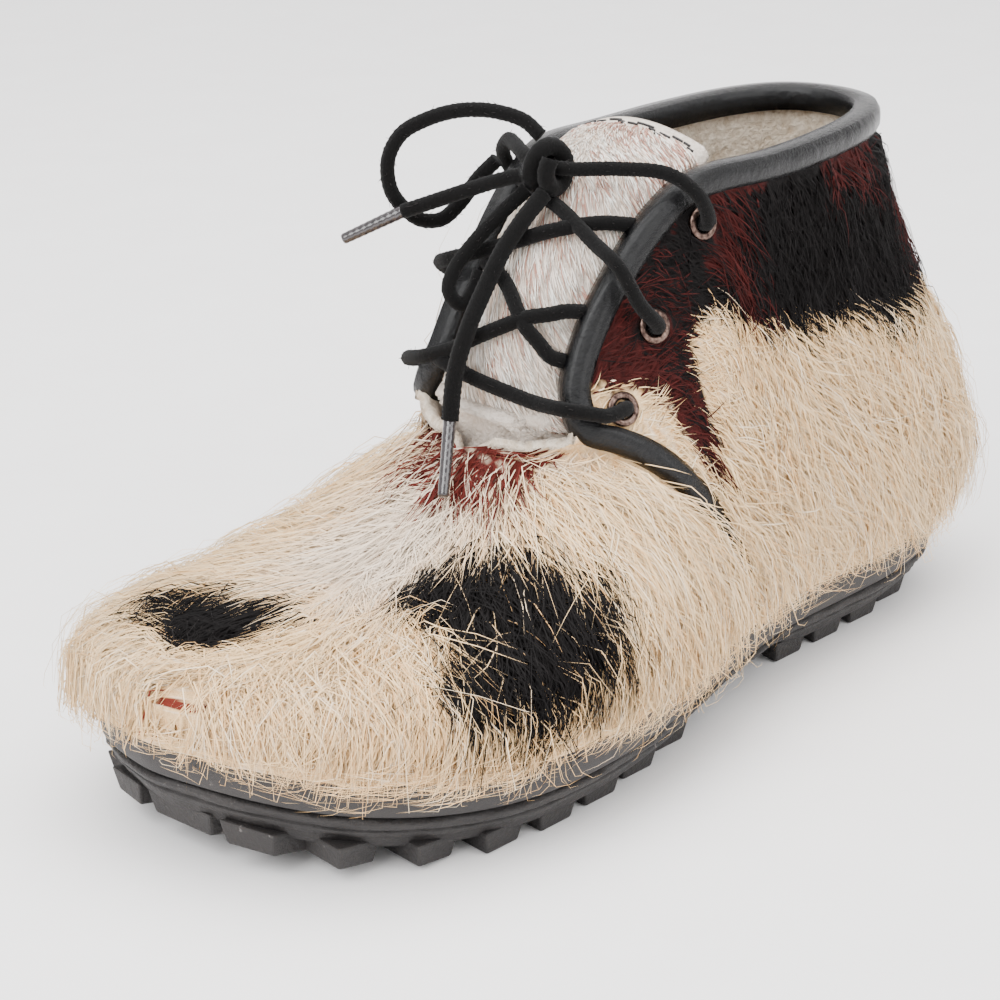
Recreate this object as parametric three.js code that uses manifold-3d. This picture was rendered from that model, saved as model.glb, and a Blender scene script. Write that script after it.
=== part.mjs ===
// Apres-ski boot: a low lace-up boot in long-haired hide on a lugged rubber sole.
// Millimetres. +X points to the toe, +Y to the wearer's left and +Z up from the floor.
// The origin is the middle of the heel's floor face.
import * as THREE from 'three';
import { mergeVertices } from 'three/addons/utils/BufferGeometryUtils.js';
import ManifoldModule from 'manifold-3d';

const manifold = await ManifoldModule();
manifold.setup();

// Driving sizes of the whole boot.
const LENGTH = 289; // rubber wall, heel to toe
const BALL_WIDTH = 116; // rubber wall across the ball of the foot
const COLLAR_HEIGHT = 147; // floor to the hide's edge at the collar
const HEEL_SPOT = 49; // heel's back to the middle of the heel's floor face
const GAP = 0.3; // clearance between two pieces that meet

// Sole. Heights are above the floor where the sole lies flat.
const TREAD_DEPTH = 4.5; // lugs below the outsole's body
const OUTSOLE_TOP = 14; // groove between outsole and rubber wall
const CUP_FLOOR = 18; // inside floor of the rubber cup
const WALL_TOP = 27; // upper edge of the rubber wall
const WALL_THICKNESS = 5; // rubber wall
const TOE_SPRING = 10; // rise of the sole at the toe
const SPRING_START = 0.79; // share of the length where the spring starts
const ARCH_RISE = 5; // hollow under the waist
const ARCH_SPAN = { from: 0.33, to: 0.51 }; // share of the length under the waist
const ARCH_BLEND = 0.05; // share of the length over which the hollow fades out
const LUG_LENGTH = 11.5; // along the foot
const LUG_BEVEL = 1.3; // lug side, from root to foot
const LUG_CHANNEL = 5.5; // clear width between inner and outer lugs
const LUG_SKEW = 4; // outer end of a lug ahead of its inner end
const LUG_ROOT = 1.5; // lug height fused into the outsole
const TREAD_INSET = 8; // lug ends, inside the rubber wall's outline
const INSOLE_THICKNESS = 4;

// Upper.
const HIDE_WALL = 3; // hide with its pile lining
const QUARTER_STEP = 1.6; // quarter lying over the vamp
const BRIM_RISE = 8; // height over which the hide bulges out above the rubber wall

// Tongue, binding, eyelets and lace.
const TONGUE_THICKNESS = 3.2;
const TONGUE_HALF_WIDTH = 33;
const TONGUE_CROWN = 8; // middle of the tongue ahead of its sides
const TONGUE_SLACK = 2; // extra room where the tongue passes under the vamp
const BINDING_THICKNESS = 1.2;
const BINDING_DEPTH = 5; // binding down each face of the hide
const EYELET = { outer: 4.4, barrel: 3.1, hole: 2.4, rim: 1.0 };
const ROUND_SEGMENTS = 8; // facets round an eyelet
const LACE_DIAMETER = 4;
const LACE_SIDES = 8;
const LACE_STEP = 7; // length of lace between two rings of its tube
const AGLET_DIAMETER = 3.2;
const KNOT = { at: [0.5208, -0.0103, 1.015], cord: 4.6, turns: 1.6, pitch: 5.2, steps: 18 };

// Fur locks fused on the hide.
const LOCK = { root: 1.6, length: 38, width: 24, height: 7 };
const HEM_LOCK = { drop: 10, width: 20, height: 5.5, clearance: 0.8 };

// Outline of the rubber wall. along is a share of LENGTH; left and right are shares of
// BALL_WIDTH, from the heel's middle line to each side.
const OUTLINE = [
  { along: 0.000, left: 0.000, right: 0.000 },
  { along: 0.010, left: 0.129, right: 0.129 },
  { along: 0.038, left: 0.224, right: 0.224 },
  { along: 0.087, left: 0.297, right: 0.289 },
  { along: 0.163, left: 0.341, right: 0.323 },
  { along: 0.249, left: 0.349, right: 0.319 },
  { along: 0.336, left: 0.353, right: 0.293 },
  { along: 0.422, left: 0.388, right: 0.284 },
  { along: 0.509, left: 0.440, right: 0.328 },
  { along: 0.595, left: 0.491, right: 0.397 },
  { along: 0.682, left: 0.517, right: 0.457 },
  { along: 0.761, left: 0.509, right: 0.491 },
  { along: 0.827, left: 0.461, right: 0.500 },
  { along: 0.889, left: 0.388, right: 0.483 },
  { along: 0.938, left: 0.293, right: 0.414 },
  { along: 0.972, left: 0.164, right: 0.310 },
  { along: 0.993, left: 0.017, right: 0.172 },
  { along: 1.000, left: -0.078, right: 0.078 },
];

// Sections of the upper from the heel's back round one side to the toe.
// foot: share of that side's outline where the section stands.
// x, out, shift: upper end of the section, as shares of LENGTH (x) and BALL_WIDTH; out is
// mirrored from side to side and shift is not. z: its height as a share of COLLAR_HEIGHT.
// rise and drop: how far the section stays upright at its foot and at its upper end.
// flare: how far it runs level at its upper end. brim: bulge over the rubber wall, in
// shares of BALL_WIDTH.
const SECTIONS = [
  { foot: 0.000, x: 0.100, out: 0.000, shift: 0, z: 1.000, rise: 0.42, drop: 0.30, flare: 0.00, brim: 0.020 },
  { foot: 0.083, x: 0.118, out: 0.128, shift: 0, z: 1.000, rise: 0.42, drop: 0.30, flare: 0.00, brim: 0.020 },
  { foot: 0.151, x: 0.170, out: 0.205, shift: 0, z: 0.998, rise: 0.42, drop: 0.30, flare: 0.00, brim: 0.020 },
  { foot: 0.224, x: 0.249, out: 0.243, shift: 0, z: 0.995, rise: 0.42, drop: 0.28, flare: 0.00, brim: 0.020 },
  { foot: 0.296, x: 0.336, out: 0.252, shift: 0, z: 0.993, rise: 0.42, drop: 0.26, flare: 0.05, brim: 0.020 },
  { foot: 0.354, x: 0.408, out: 0.240, shift: 0, z: 0.997, rise: 0.42, drop: 0.24, flare: 0.10, brim: 0.020 },
  { foot: 0.377, x: 0.448, out: 0.224, shift: 0, z: 0.984, rise: 0.42, drop: 0.20, flare: 0.18, brim: 0.020 },
  { foot: 0.394, x: 0.491, out: 0.207, shift: 0, z: 0.932, rise: 0.42, drop: 0.16, flare: 0.26, brim: 0.020 },
  { foot: 0.408, x: 0.533, out: 0.194, shift: 0, z: 0.852, rise: 0.42, drop: 0.12, flare: 0.32, brim: 0.020 },
  { foot: 0.422, x: 0.568, out: 0.190, shift: 0, z: 0.767, rise: 0.42, drop: 0.09, flare: 0.38, brim: 0.020 },
  { foot: 0.435, x: 0.593, out: 0.198, shift: 0, z: 0.675, rise: 0.42, drop: 0.06, flare: 0.42, brim: 0.020 },
  { foot: 0.450, x: 0.602, out: 0.232, shift: 0, z: 0.588, rise: 0.42, drop: 0.03, flare: 0.45, brim: 0.022 },
  { foot: 0.516, x: 0.624, out: 0.136, shift: -0.012, z: 0.562, rise: 0.45, drop: 0.00, flare: 0.50, brim: 0.026 },
  { foot: 0.575, x: 0.640, out: 0.000, shift: -0.028, z: 0.546, rise: 0.50, drop: 0.00, flare: 0.55, brim: 0.028 },
  { foot: 0.639, x: 0.682, out: 0.000, shift: -0.036, z: 0.455, rise: 0.52, drop: 0.00, flare: 0.58, brim: 0.028 },
  { foot: 0.699, x: 0.727, out: 0.000, shift: -0.045, z: 0.398, rise: 0.55, drop: 0.00, flare: 0.60, brim: 0.026 },
  { foot: 0.765, x: 0.785, out: 0.000, shift: -0.055, z: 0.364, rise: 0.58, drop: 0.00, flare: 0.60, brim: 0.024 },
  { foot: 0.831, x: 0.843, out: 0.000, shift: -0.064, z: 0.350, rise: 0.60, drop: 0.00, flare: 0.60, brim: 0.022 },
  { foot: 0.905, x: 0.890, out: 0.000, shift: -0.071, z: 0.340, rise: 0.62, drop: 0.00, flare: 0.58, brim: 0.020 },
  { foot: 1.000, x: 0.918, out: 0.000, shift: -0.078, z: 0.333, rise: 0.64, drop: 0.00, flare: 0.56, brim: 0.020 },
];
const QUARTER_FRONT = 11; // section along the quarter's front edge
const BINDING_END = 10.6; // section where the binding's roll ends above the throat's corner
const RIDGE_START = 13; // section where the throat ends and the vamp closes

// Extra columns of facets between two sections.
const EXTRA_COLUMNS = [0.5, 1.5, 2.5, BINDING_END, QUARTER_FRONT + 0.06, 12.5, 17.5, 18.5];
const COLUMNS = [...SECTIONS.keys(), ...EXTRA_COLUMNS].sort((p, q) => p - q);

// Heights of the facets up a section: foot, wall's top, brim, then up to the edge.
const RISES = [0, 0.1, 0.2, 0.3, 0.42, 0.55, 0.68, 0.8, 0.91, 1];

// Eyelets of one side, from the lowest up: section and distance below the facing's edge.
const EYELETS = {
  low: { section: 10.1, below: 15 },
  middle: { section: 8.2, below: 17 },
  top: { section: 5.9, below: 11.5 },
};

// Levels of the tongue from its sewn end under the vamp to its top. section: where it lies
// along the throat. crown and half: shares of TONGUE_CROWN and TONGUE_HALF_WIDTH. back and
// above: shift from the last section, as shares of LENGTH and COLLAR_HEIGHT.
const TONGUE = [
  { section: 14.2, crown: 0.00, half: 0.80, back: 0.000, above: 0.000 },
  { section: 13.5, crown: 0.00, half: 0.84, back: 0.000, above: 0.000 },
  { section: 12.7, crown: 0.00, half: 0.88, back: 0.000, above: 0.000 },
  { section: 12.0, crown: 0.02, half: 0.94, back: 0.000, above: 0.000 },
  { section: 11.3, crown: 0.18, half: 1.00, back: 0.000, above: 0.000 },
  { section: 10.5, crown: 0.52, half: 1.00, back: 0.000, above: 0.000 },
  { section: 9.7, crown: 0.85, half: 1.00, back: 0.000, above: 0.000 },
  { section: 8.8, crown: 1.00, half: 1.00, back: 0.000, above: 0.000 },
  { section: 7.9, crown: 1.00, half: 1.00, back: 0.000, above: 0.000 },
  { section: 7.0, crown: 0.90, half: 0.96, back: 0.000, above: 0.000 },
  { section: 6.3, crown: 0.80, half: 0.90, back: 0.000, above: 0.000 },
  { section: 6.3, crown: 0.74, half: 0.80, back: 0.032, above: 0.032 },
  { section: 6.3, crown: 0.66, half: 0.62, back: 0.068, above: 0.046 },
];
const TONGUE_ACROSS = [0, 0.3, 0.56, 0.8, 1]; // points from the tongue's middle to its side

// Lace over the throat. Each run is the middle line of one stretch between two eyelets,
// chosen by hand. A plain stop is shares of LENGTH, BALL_WIDTH and COLLAR_HEIGHT from the
// heel's back. A named stop is millimetres from the lace's place in front of that eyelet,
// or from the knot's middle.
const LACE_BARS = {
  lace_bars_lower: [
    // Lowest eyelets, straight across.
    [['left low', 0, 0, 0], ['left low', 7.8, -0.4, -0.1], [0.5972, 0.2828, 0.6449],
      [0.6145, 0.2431, 0.6544], [0.6159, 0.1552, 0.6531], [0.6176, 0.0776, 0.6599],
      [0.6215, 0, 0.6707], [0.6215, -0.069, 0.6803], [0.6187, -0.1259, 0.6884]],
    // From under the left facing to the lowest right eyelet.
    [[0.5758, 0.1586, 0.8], [0.5834, 0.1328, 0.7946], [0.5952, 0.0862, 0.7864],
      [0.6055, 0.0362, 0.7673], [0.6125, -0.0259, 0.7415], [0.618, -0.0862, 0.7143],
      [0.6228, -0.1638, 0.6898], [0.609, -0.2466, 0.6667], ['right low', 9.8, -1.6, 1.8],
      ['right low', 0, 0, 0]],
    // From under the left facing to the middle right eyelet.
    [[0.5924, 0.1534, 0.7238], [0.5962, 0.1224, 0.7483], [0.5983, 0.0862, 0.7741],
      [0.5945, 0.0569, 0.7959], [0.5862, 0.0172, 0.8204], [0.5744, -0.0345, 0.834]],
  ],
  lace_bars_upper: [
    // From the middle left eyelet to under the right facing.
    [['left middle', 0, 0, 0], ['left middle', 7, -0.6, 7.2], [0.5481, 0.2534, 0.8803],
      [0.5419, 0.1724, 0.9075], [0.5349, 0.1, 0.932], [0.5287, 0.0483, 0.9456]],
    // From under the left facing to the middle right eyelet.
    [[0.5156, 0.1431, 0.9306], [0.5336, 0.1034, 0.9279], [0.5502, 0.0431, 0.9143],
      [0.5606, -0.0345, 0.8898], [0.5709, -0.1207, 0.8639], [0.573, -0.2069, 0.8395],
      ['right middle', 13.5, -0.3, 8.7], ['right middle', 0, 0, 0]],
  ],
  lace_bars_top: [
    // Both top eyelets to the knot.
    [['left top', 0, 0, 0], ['left top', 5.8, 1.1, 8.7], [0.474, 0.2414, 1.0136],
      [0.4962, 0.1379, 1.019], ['knot', -1.7, 7.2, 0], ['knot', 0, 0, 0], ['knot', -2.5, -9.8, 0.6],
      [0.49, -0.1776, 1.0204], [0.4692, -0.25, 1.0136], ['right top', 5.1, -2.1, 9.3],
      ['right top', 0, 0, 0]],
  ],
};

// Free lace of the bow: middle lines from the knot, chosen by hand, and diameters.
const LACE_CORDS = {
  lace_loop_large: {
    diameter: LACE_DIAMETER,
    path: [
      ['knot', 0.1, -2.4, 7.6], ['knot', 1.7, -6.8, 11.3], ['knot', 6.3, -14.8, 13.6],
      ['knot', 11.4, -22, 13.3], ['knot', 16.1, -28.3, 10.9], ['knot', 19.9, -33.4, 7.1],
      ['knot', 22.1, -36.3, 0.2], ['knot', 21.8, -35.8, -7.9], ['knot', 19.8, -33.2, -12.7],
      ['knot', 17.2, -29.7, -15.8], ['knot', 13.5, -25.8, -15.8], ['knot', 9.9, -22.8, -12],
      ['knot', 6.5, -18.8, -5], ['knot', 4.3, -14.2, 0.2],
    ],
  },
  lace_loop_small: {
    diameter: LACE_DIAMETER,
    path: [
      ['knot', 5.6, -2.6, -5.6], ['knot', 12.3, -6, -11.4], ['knot', 19.1, -9.2, -18.2],
      ['knot', 24.5, -11.2, -24.6], ['knot', 27.3, -10.4, -29.4], ['knot', 25.7, -7.6, -32.8],
      ['knot', 22.1, -6.8, -29.8], ['knot', 19.3, -6.8, -25],
    ],
  },
  lace_end_short: {
    diameter: LACE_DIAMETER,
    path: [
      ['knot', 8, -2.8, -1.3], ['knot', 11.5, -7.4, -2.8], ['knot', 14.9, -13.8, -5.4],
      ['knot', 20.1, -22.2, -9], ['knot', 24.5, -29.2, -12],
    ],
  },
  lace_end_long: {
    diameter: LACE_DIAMETER + 0.8,
    path: [
      ['knot', 5.1, 2.8, -6], ['knot', 11.9, 2.2, -11], ['knot', 18.7, 0.8, -18.4],
      ['knot', 24.5, 0, -26.8], ['knot', 31.3, 0, -36.2], ['knot', 36.5, 0, -46.8],
      ['knot', 40.1, 1.2, -58.6],
    ],
  },
};

// Aglets: the lace end that each one closes and the point where it stops.
const AGLETS = {
  aglet_short: { end: 'lace_end_short', tip: ['knot', 34.1, -41.8, -19.6] },
  aglet_long: { end: 'lace_end_long', tip: ['knot', 50.1, 7.8, -75] },
};

// Rows of lugs: place as a share of LENGTH.
const LUG_ROWS = [0.045, 0.107, 0.1696, 0.232, 0.294, 0.526, 0.588, 0.650, 0.712, 0.774, 0.836, 0.898, 0.952];

const LEFT = 1;
const RIGHT = -1;

const MATERIALS = {
  rubber: new THREE.MeshStandardMaterial({ name: 'black_rubber', color: 0x3f3c3c, roughness: 0.75 }),
  tread: new THREE.MeshStandardMaterial({ name: 'tread_rubber', color: 0x353232, roughness: 0.85 }),
  fur: new THREE.MeshStandardMaterial({ name: 'long_fur', color: 0xe1c8aa, roughness: 0.95 }),
  tongue: new THREE.MeshStandardMaterial({ name: 'tongue_hide', color: 0xf0e1d2, roughness: 0.95 }),
  felt: new THREE.MeshStandardMaterial({ name: 'pile_insole', color: 0xe6d6bf, roughness: 1 }),
  binding: new THREE.MeshStandardMaterial({ name: 'black_binding', color: 0x17171b, roughness: 0.25 }),
  metal: new THREE.MeshStandardMaterial({ name: 'antique_metal', color: 0x5b4a42, roughness: 0.35, metalness: 1 }),
  lace: new THREE.MeshStandardMaterial({ name: 'black_lace', color: 0x1c1b1b, roughness: 0.95 }),
  aglet: new THREE.MeshStandardMaterial({ name: 'aglet_plastic', color: 0x2a2627, roughness: 0.3 }),
};

// Cubic through a table's rows, all named columns at once. place is a row number with a
// fraction. before is the row ahead of the first one.
function between(rows, place, before = rows[0]) {
  const index = Math.min(Math.floor(place), rows.length - 2);
  const f = place - index;
  const pick = (k) => (k < 0 ? before : rows[Math.min(k, rows.length - 1)]);
  const [a, b, c, d] = [pick(index - 1), pick(index), pick(index + 1), pick(index + 2)];
  const result = {};
  for (const name of Object.keys(b)) {
    const [p, q, r, s] = [a[name], b[name], c[name], d[name]];
    result[name] = q + 0.5 * f * (r - p + f * (2 * p - 5 * q + 4 * r - s + f * (3 * (q - r) + s - p)));
  }
  return result;
}

// Closed outline from the heel's back along the left side to the toe and back.
function outlineCurve() {
  const left = OUTLINE.map((row) => new THREE.Vector3(row.along * LENGTH, row.left * BALL_WIDTH, 0));
  const right = OUTLINE.slice(1, -1).map((row) => new THREE.Vector3(row.along * LENGTH, -row.right * BALL_WIDTH, 0));
  return new THREE.CatmullRomCurve3([...left, ...right.reverse()], true, 'centripetal');
}

const outlineLoop = outlineCurve();
outlineLoop.arcLengthDivisions = 40 * outlineLoop.points.length;
const outlineLengths = outlineLoop.getLengths();
const toeShare = outlineLengths[40 * (OUTLINE.length - 1)] / outlineLengths.at(-1);

// Point of the outline on one side, moved inwards by inset.
function outlineAt(side, share, inset) {
  const along = side === LEFT ? share * toeShare : 1 - share * (1 - toeShare);
  const wrapped = ((along % 1) + 1) % 1;
  const point = outlineLoop.getPointAt(wrapped);
  const tangent = outlineLoop.getTangentAt(wrapped);
  return new THREE.Vector3(point.x + tangent.y * inset, point.y - tangent.x * inset, 0);
}

// Distance from the middle line to the outline at one place along the boot.
function halfWidth(side, x) {
  let low = 0;
  let high = 1;
  for (let step = 0; step < 30; step += 1) {
    const middle = (low + high) / 2;
    if (outlineAt(side, middle, 0).x < x) low = middle;
    else high = middle;
  }
  return side * outlineAt(side, low, 0).y;
}

function smoothstep(from, to, value) {
  const share = Math.min(Math.max((value - from) / (to - from), 0), 1);
  return share * share * (3 - 2 * share);
}

// Rise of the whole sole towards the toe.
function spring(x) {
  const share = Math.max(x / LENGTH - SPRING_START, 0) / (1 - SPRING_START);
  return TOE_SPRING * share ** 1.8;
}

// Rise of the sole's underside at the waist.
function arch(x) {
  const share = x / LENGTH;
  const start = smoothstep(ARCH_SPAN.from - ARCH_BLEND, ARCH_SPAN.from + ARCH_BLEND, share);
  const end = smoothstep(ARCH_SPAN.to - ARCH_BLEND, ARCH_SPAN.to + ARCH_BLEND, share);
  return ARCH_RISE * (start - end);
}

// Section of the upper at a place between two rows of SECTIONS.
function sectionAt(place) {
  const mirrored = { ...SECTIONS[1], foot: -SECTIONS[1].foot, out: -SECTIONS[1].out };
  return between(SECTIONS, place, mirrored);
}

// Outer face of the upper, before the quarter's step. rise runs from 0 at the foot to 1 at
// the collar, the facing or the vamp's ridge.
function surface(side, place, rise) {
  const row = sectionAt(place);
  const foot = outlineAt(side, row.foot, WALL_THICKNESS + GAP);
  const lift = spring(foot.x);
  const bottom = foot.clone().setZ(CUP_FLOOR + GAP + lift);
  const rim = foot.clone().setZ(WALL_TOP + GAP + lift);
  if (rise < 0.1) return bottom.lerp(rim, rise / 0.1);
  const brim = outlineAt(side, row.foot, -row.brim * BALL_WIDTH).setZ(WALL_TOP + BRIM_RISE + lift);
  if (rise < 0.2) return rim.lerp(brim, (rise - 0.1) / 0.1);
  const y = (side * row.out + row.shift) * BALL_WIDTH;
  const edge = new THREE.Vector3(row.x * LENGTH, y, row.z * COLLAR_HEIGHT);
  const height = edge.z - brim.z;
  const upright = brim.clone().setZ(brim.z + row.rise * height);
  const level = edge.clone().lerp(brim, row.flare).setZ(edge.z - row.drop * height);
  return new THREE.CubicBezierCurve3(brim, upright, level, edge).getPoint((rise - 0.2) / 0.8);
}

// Outward normal of the upper's outer face.
function normalAt(side, place, rise) {
  const step = 0.02;
  const [a, b] = [Math.max(place - step, 0), Math.min(place + step, SECTIONS.length - 1)];
  const [c, d] = [Math.max(rise - step, 0.21), Math.min(Math.max(rise, 0.23) + step, 1)];
  const middle = Math.min(Math.max(rise, 0.21), 1 - step);
  const forward = surface(side, b, middle).sub(surface(side, a, middle));
  const upward = surface(side, place, d).sub(surface(side, place, c));
  return upward.cross(forward).multiplyScalar(side).normalize();
}

// Raised height of the hide: the quarter lies over the vamp.
function stepAt(place) {
  return place <= QUARTER_FRONT ? QUARTER_STEP : 0;
}

// Rise of the point that lies a distance below the section's upper end.
function riseBelow(side, place, distance) {
  let rise = 1;
  let travelled = 0;
  let last = surface(side, place, rise);
  while (travelled < distance && rise > 0.2) {
    rise -= 0.005;
    const next = surface(side, place, rise);
    travelled += next.distanceTo(last);
    last = next;
  }
  return rise;
}

function geometryFrom(points, faces) {
  const geometry = new THREE.BufferGeometry();
  geometry.setAttribute('position', new THREE.Float32BufferAttribute(points.flatMap((p) => [p.x, p.y, p.z]), 3));
  geometry.setIndex(faces);
  return geometry;
}

function toSolid(geometry) {
  const bare = new THREE.BufferGeometry();
  bare.setAttribute('position', geometry.getAttribute('position').clone());
  if (geometry.index) bare.setIndex(geometry.index.clone());
  const welded = mergeVertices(bare, 1e-4);
  const vertProperties = new Float32Array(welded.getAttribute('position').array);
  const corners = Array.from(welded.index.array);
  const triVerts = [];
  for (let k = 0; k < corners.length; k += 3) {
    const [a, b, c] = corners.slice(k, k + 3);
    if (a !== b && b !== c && c !== a) triVerts.push(a, b, c);
  }
  const mesh = new manifold.Mesh({ numProp: 3, vertProperties, triVerts: new Uint32Array(triVerts) });
  mesh.merge();
  return new manifold.Manifold(mesh);
}

function fromSolid(solid) {
  const mesh = solid.getMesh();
  const geometry = new THREE.BufferGeometry();
  const positions = new Float32Array(mesh.numVert * 3);
  for (let k = 0; k < mesh.numVert; k += 1) {
    positions.set(mesh.vertProperties.subarray(k * mesh.numProp, k * mesh.numProp + 3), k * 3);
  }
  geometry.setAttribute('position', new THREE.BufferAttribute(positions, 3));
  geometry.setIndex(Array.from(mesh.triVerts));
  return geometry;
}

// Closed solid through rings of points. Each ring starts at the heel's back, runs along the
// left side to the toe and back along the right side, so its ends are closed by cross strips.
function stackRings(rings) {
  const count = rings[0].length;
  const faces = [];
  for (let level = 0; level + 1 < rings.length; level += 1) {
    for (let k = 0; k < count; k += 1) {
      const a = level * count + k;
      const b = level * count + ((k + 1) % count);
      faces.push(a, a + count, b, b, a + count, b + count);
    }
  }
  const top = (rings.length - 1) * count;
  for (let k = 0; k < count / 2; k += 1) {
    const [a, b] = [k, k + 1];
    const [c, d] = [(count - k) % count, count - k - 1];
    faces.push(a, b, c, b, d, c);
    faces.push(top + a, top + c, top + b, top + b, top + c, top + d);
  }
  const usable = [];
  for (let k = 0; k < faces.length; k += 3) {
    const [a, b, c] = faces.slice(k, k + 3);
    if (a !== b && b !== c && c !== a) usable.push(a, b, c);
  }
  return geometryFrom(rings.flat(), usable);
}

// Ring of the outline moved inwards by inset, at a height that may depend on x.
function ring(inset, height) {
  const shares = COLUMNS.map((place) => sectionAt(place).foot);
  const left = shares.map((share) => outlineAt(LEFT, share, inset));
  const right = shares.slice(1, -1).map((share) => outlineAt(RIGHT, share, inset));
  const points = [...left, ...right.reverse()];
  return points.map((point) => point.setZ(height(point.x) + spring(point.x)));
}

// One lug: a bevelled block from the floor up into the outsole.
function lug(x, inner, outer, skew) {
  const root = TREAD_DEPTH + LUG_ROOT;
  const half = LUG_LENGTH / 2;
  const corners = [];
  for (const [level, grow] of [[0, 0], [root, LUG_BEVEL]]) {
    const sign = Math.sign(outer - inner);
    for (const [dx, y, lean] of [[-half, inner, 0], [half, inner, 0], [half, outer, skew], [-half, outer, skew]]) {
      const px = x + dx + lean + Math.sign(dx) * grow;
      const py = y + (y === outer ? sign : -sign) * grow;
      const rise = level === 0 ? spring(px) : level + spring(px);
      corners.push(new THREE.Vector3(px, py, rise));
    }
  }
  const faces = [0, 2, 1, 0, 3, 2, 4, 5, 6, 4, 6, 7];
  for (let k = 0; k < 4; k += 1) {
    const next = (k + 1) % 4;
    faces.push(k, next, k + 4, next, next + 4, k + 4);
  }
  const geometry = geometryFrom(corners, outer > inner ? faces : faces.reverse());
  return toSolid(geometry);
}

// Outsole: body with a textured band's ribs round its side, hollow waist and rows of lugs.
function makeOutsole() {
  const underside = ring(6.6, (x) => TREAD_DEPTH + arch(x));
  const bandFoot = ring(4.6, (x) => 8.2 + arch(x) * 0.4);
  const ribLow = ring(3.2, (x) => 8.9 + arch(x) * 0.3);
  const ribHigh = ring(2.9, (x) => 10.1 + arch(x) * 0.2);
  const bandNeck = ring(3.4, (x) => 10.8 + arch(x) * 0.15);
  const bandTop = ring(1.2, () => OUTSOLE_TOP - 0.9);
  const top = ring(1.9, () => OUTSOLE_TOP);
  const body = toSolid(stackRings([underside, bandFoot, ribLow, ribHigh, bandNeck, bandTop, top]));
  const blocks = [body];
  for (const share of LUG_ROWS) {
    const x = share * LENGTH;
    const left = halfWidth(LEFT, x) - TREAD_INSET;
    const right = halfWidth(RIGHT, x) - TREAD_INSET;
    const middle = (left - right) / 2;
    const reach = (left + right) / 2;
    const core = reach * 0.36;
    blocks.push(lug(x, middle - core, middle + core, 0));
    const skew = share > 0.93 || share < 0.06 ? -LUG_SKEW * (share > 0.5 ? 1 : -1) : LUG_SKEW;
    blocks.push(lug(x, middle + core + LUG_CHANNEL, left, skew));
    blocks.push(lug(x, middle - core - LUG_CHANNEL, -right, skew));
  }
  return fromSolid(manifold.Manifold.union(blocks));
}

// Rubber cup: midsole floor and the wall that stands round the upper's foot.
function makeCup() {
  const rings = [
    ring(2.2, () => OUTSOLE_TOP + GAP),
    ring(0.4, () => OUTSOLE_TOP + GAP + 1.2),
    ring(0, () => OUTSOLE_TOP + GAP + 4),
    ring(1.3, () => WALL_TOP),
    ring(WALL_THICKNESS - 0.4, () => WALL_TOP),
    ring(WALL_THICKNESS, () => WALL_TOP - 0.6),
    ring(WALL_THICKNESS, () => CUP_FLOOR),
  ];
  return stackRings(rings);
}

function makeInsole() {
  const inset = WALL_THICKNESS + HIDE_WALL + 2 * GAP;
  const rings = [
    ring(inset, () => CUP_FLOOR + GAP),
    ring(inset, () => CUP_FLOOR + GAP + INSOLE_THICKNESS - 0.8),
    ring(inset + 0.8, () => CUP_FLOOR + GAP + INSOLE_THICKNESS),
  ];
  return stackRings(rings);
}

// Closed shell between two sheets that share their faces.
function shell(outer, inner, faces) {
  const count = outer.length;
  const edges = new Map();
  for (let k = 0; k < faces.length; k += 3) {
    const corners = faces.slice(k, k + 3);
    for (let j = 0; j < 3; j += 1) {
      const [a, b] = [corners[j], corners[(j + 1) % 3]];
      if (edges.has(`${b} ${a}`)) edges.delete(`${b} ${a}`);
      else edges.set(`${a} ${b}`, [a, b]);
    }
  }
  const all = [...faces];
  for (let k = 0; k < faces.length; k += 3) {
    all.push(faces[k] + count, faces[k + 2] + count, faces[k + 1] + count);
  }
  for (const [a, b] of edges.values()) {
    all.push(b, a, a + count, b, a + count, b + count);
  }
  return geometryFrom([...outer, ...inner], all);
}

// Hide of both sides as one sheet, welded at the heel's back, the toe and the vamp's ridge.
function hideSheet() {
  const points = [];
  const extra = [];
  const known = new Map();
  const faces = [];
  const vertex = (side, column, level) => {
    const place = COLUMNS[column];
    const shared = column === 0 || column === COLUMNS.length - 1;
    const ridge = level === RISES.length - 1 && place >= RIDGE_START;
    const key = `${shared || ridge ? 0 : side} ${column} ${level}`;
    if (!known.has(key)) {
      known.set(key, points.length);
      points.push(surface(side, place, RISES[level]));
      extra.push(stepAt(place) * (level === 0 ? 0 : smoothstep(0.1, 0.25, RISES[level])));
    }
    return known.get(key);
  };
  for (const side of [LEFT, RIGHT]) {
    for (let column = 0; column + 1 < COLUMNS.length; column += 1) {
      for (let level = 0; level + 1 < RISES.length; level += 1) {
        const a = vertex(side, column, level);
        const b = vertex(side, column + 1, level);
        const c = vertex(side, column + 1, level + 1);
        const d = vertex(side, column, level + 1);
        if (side === LEFT) faces.push(a, c, b, a, d, c);
        else faces.push(a, b, c, a, c, d);
      }
    }
  }
  return { points, extra, faces };
}

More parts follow.
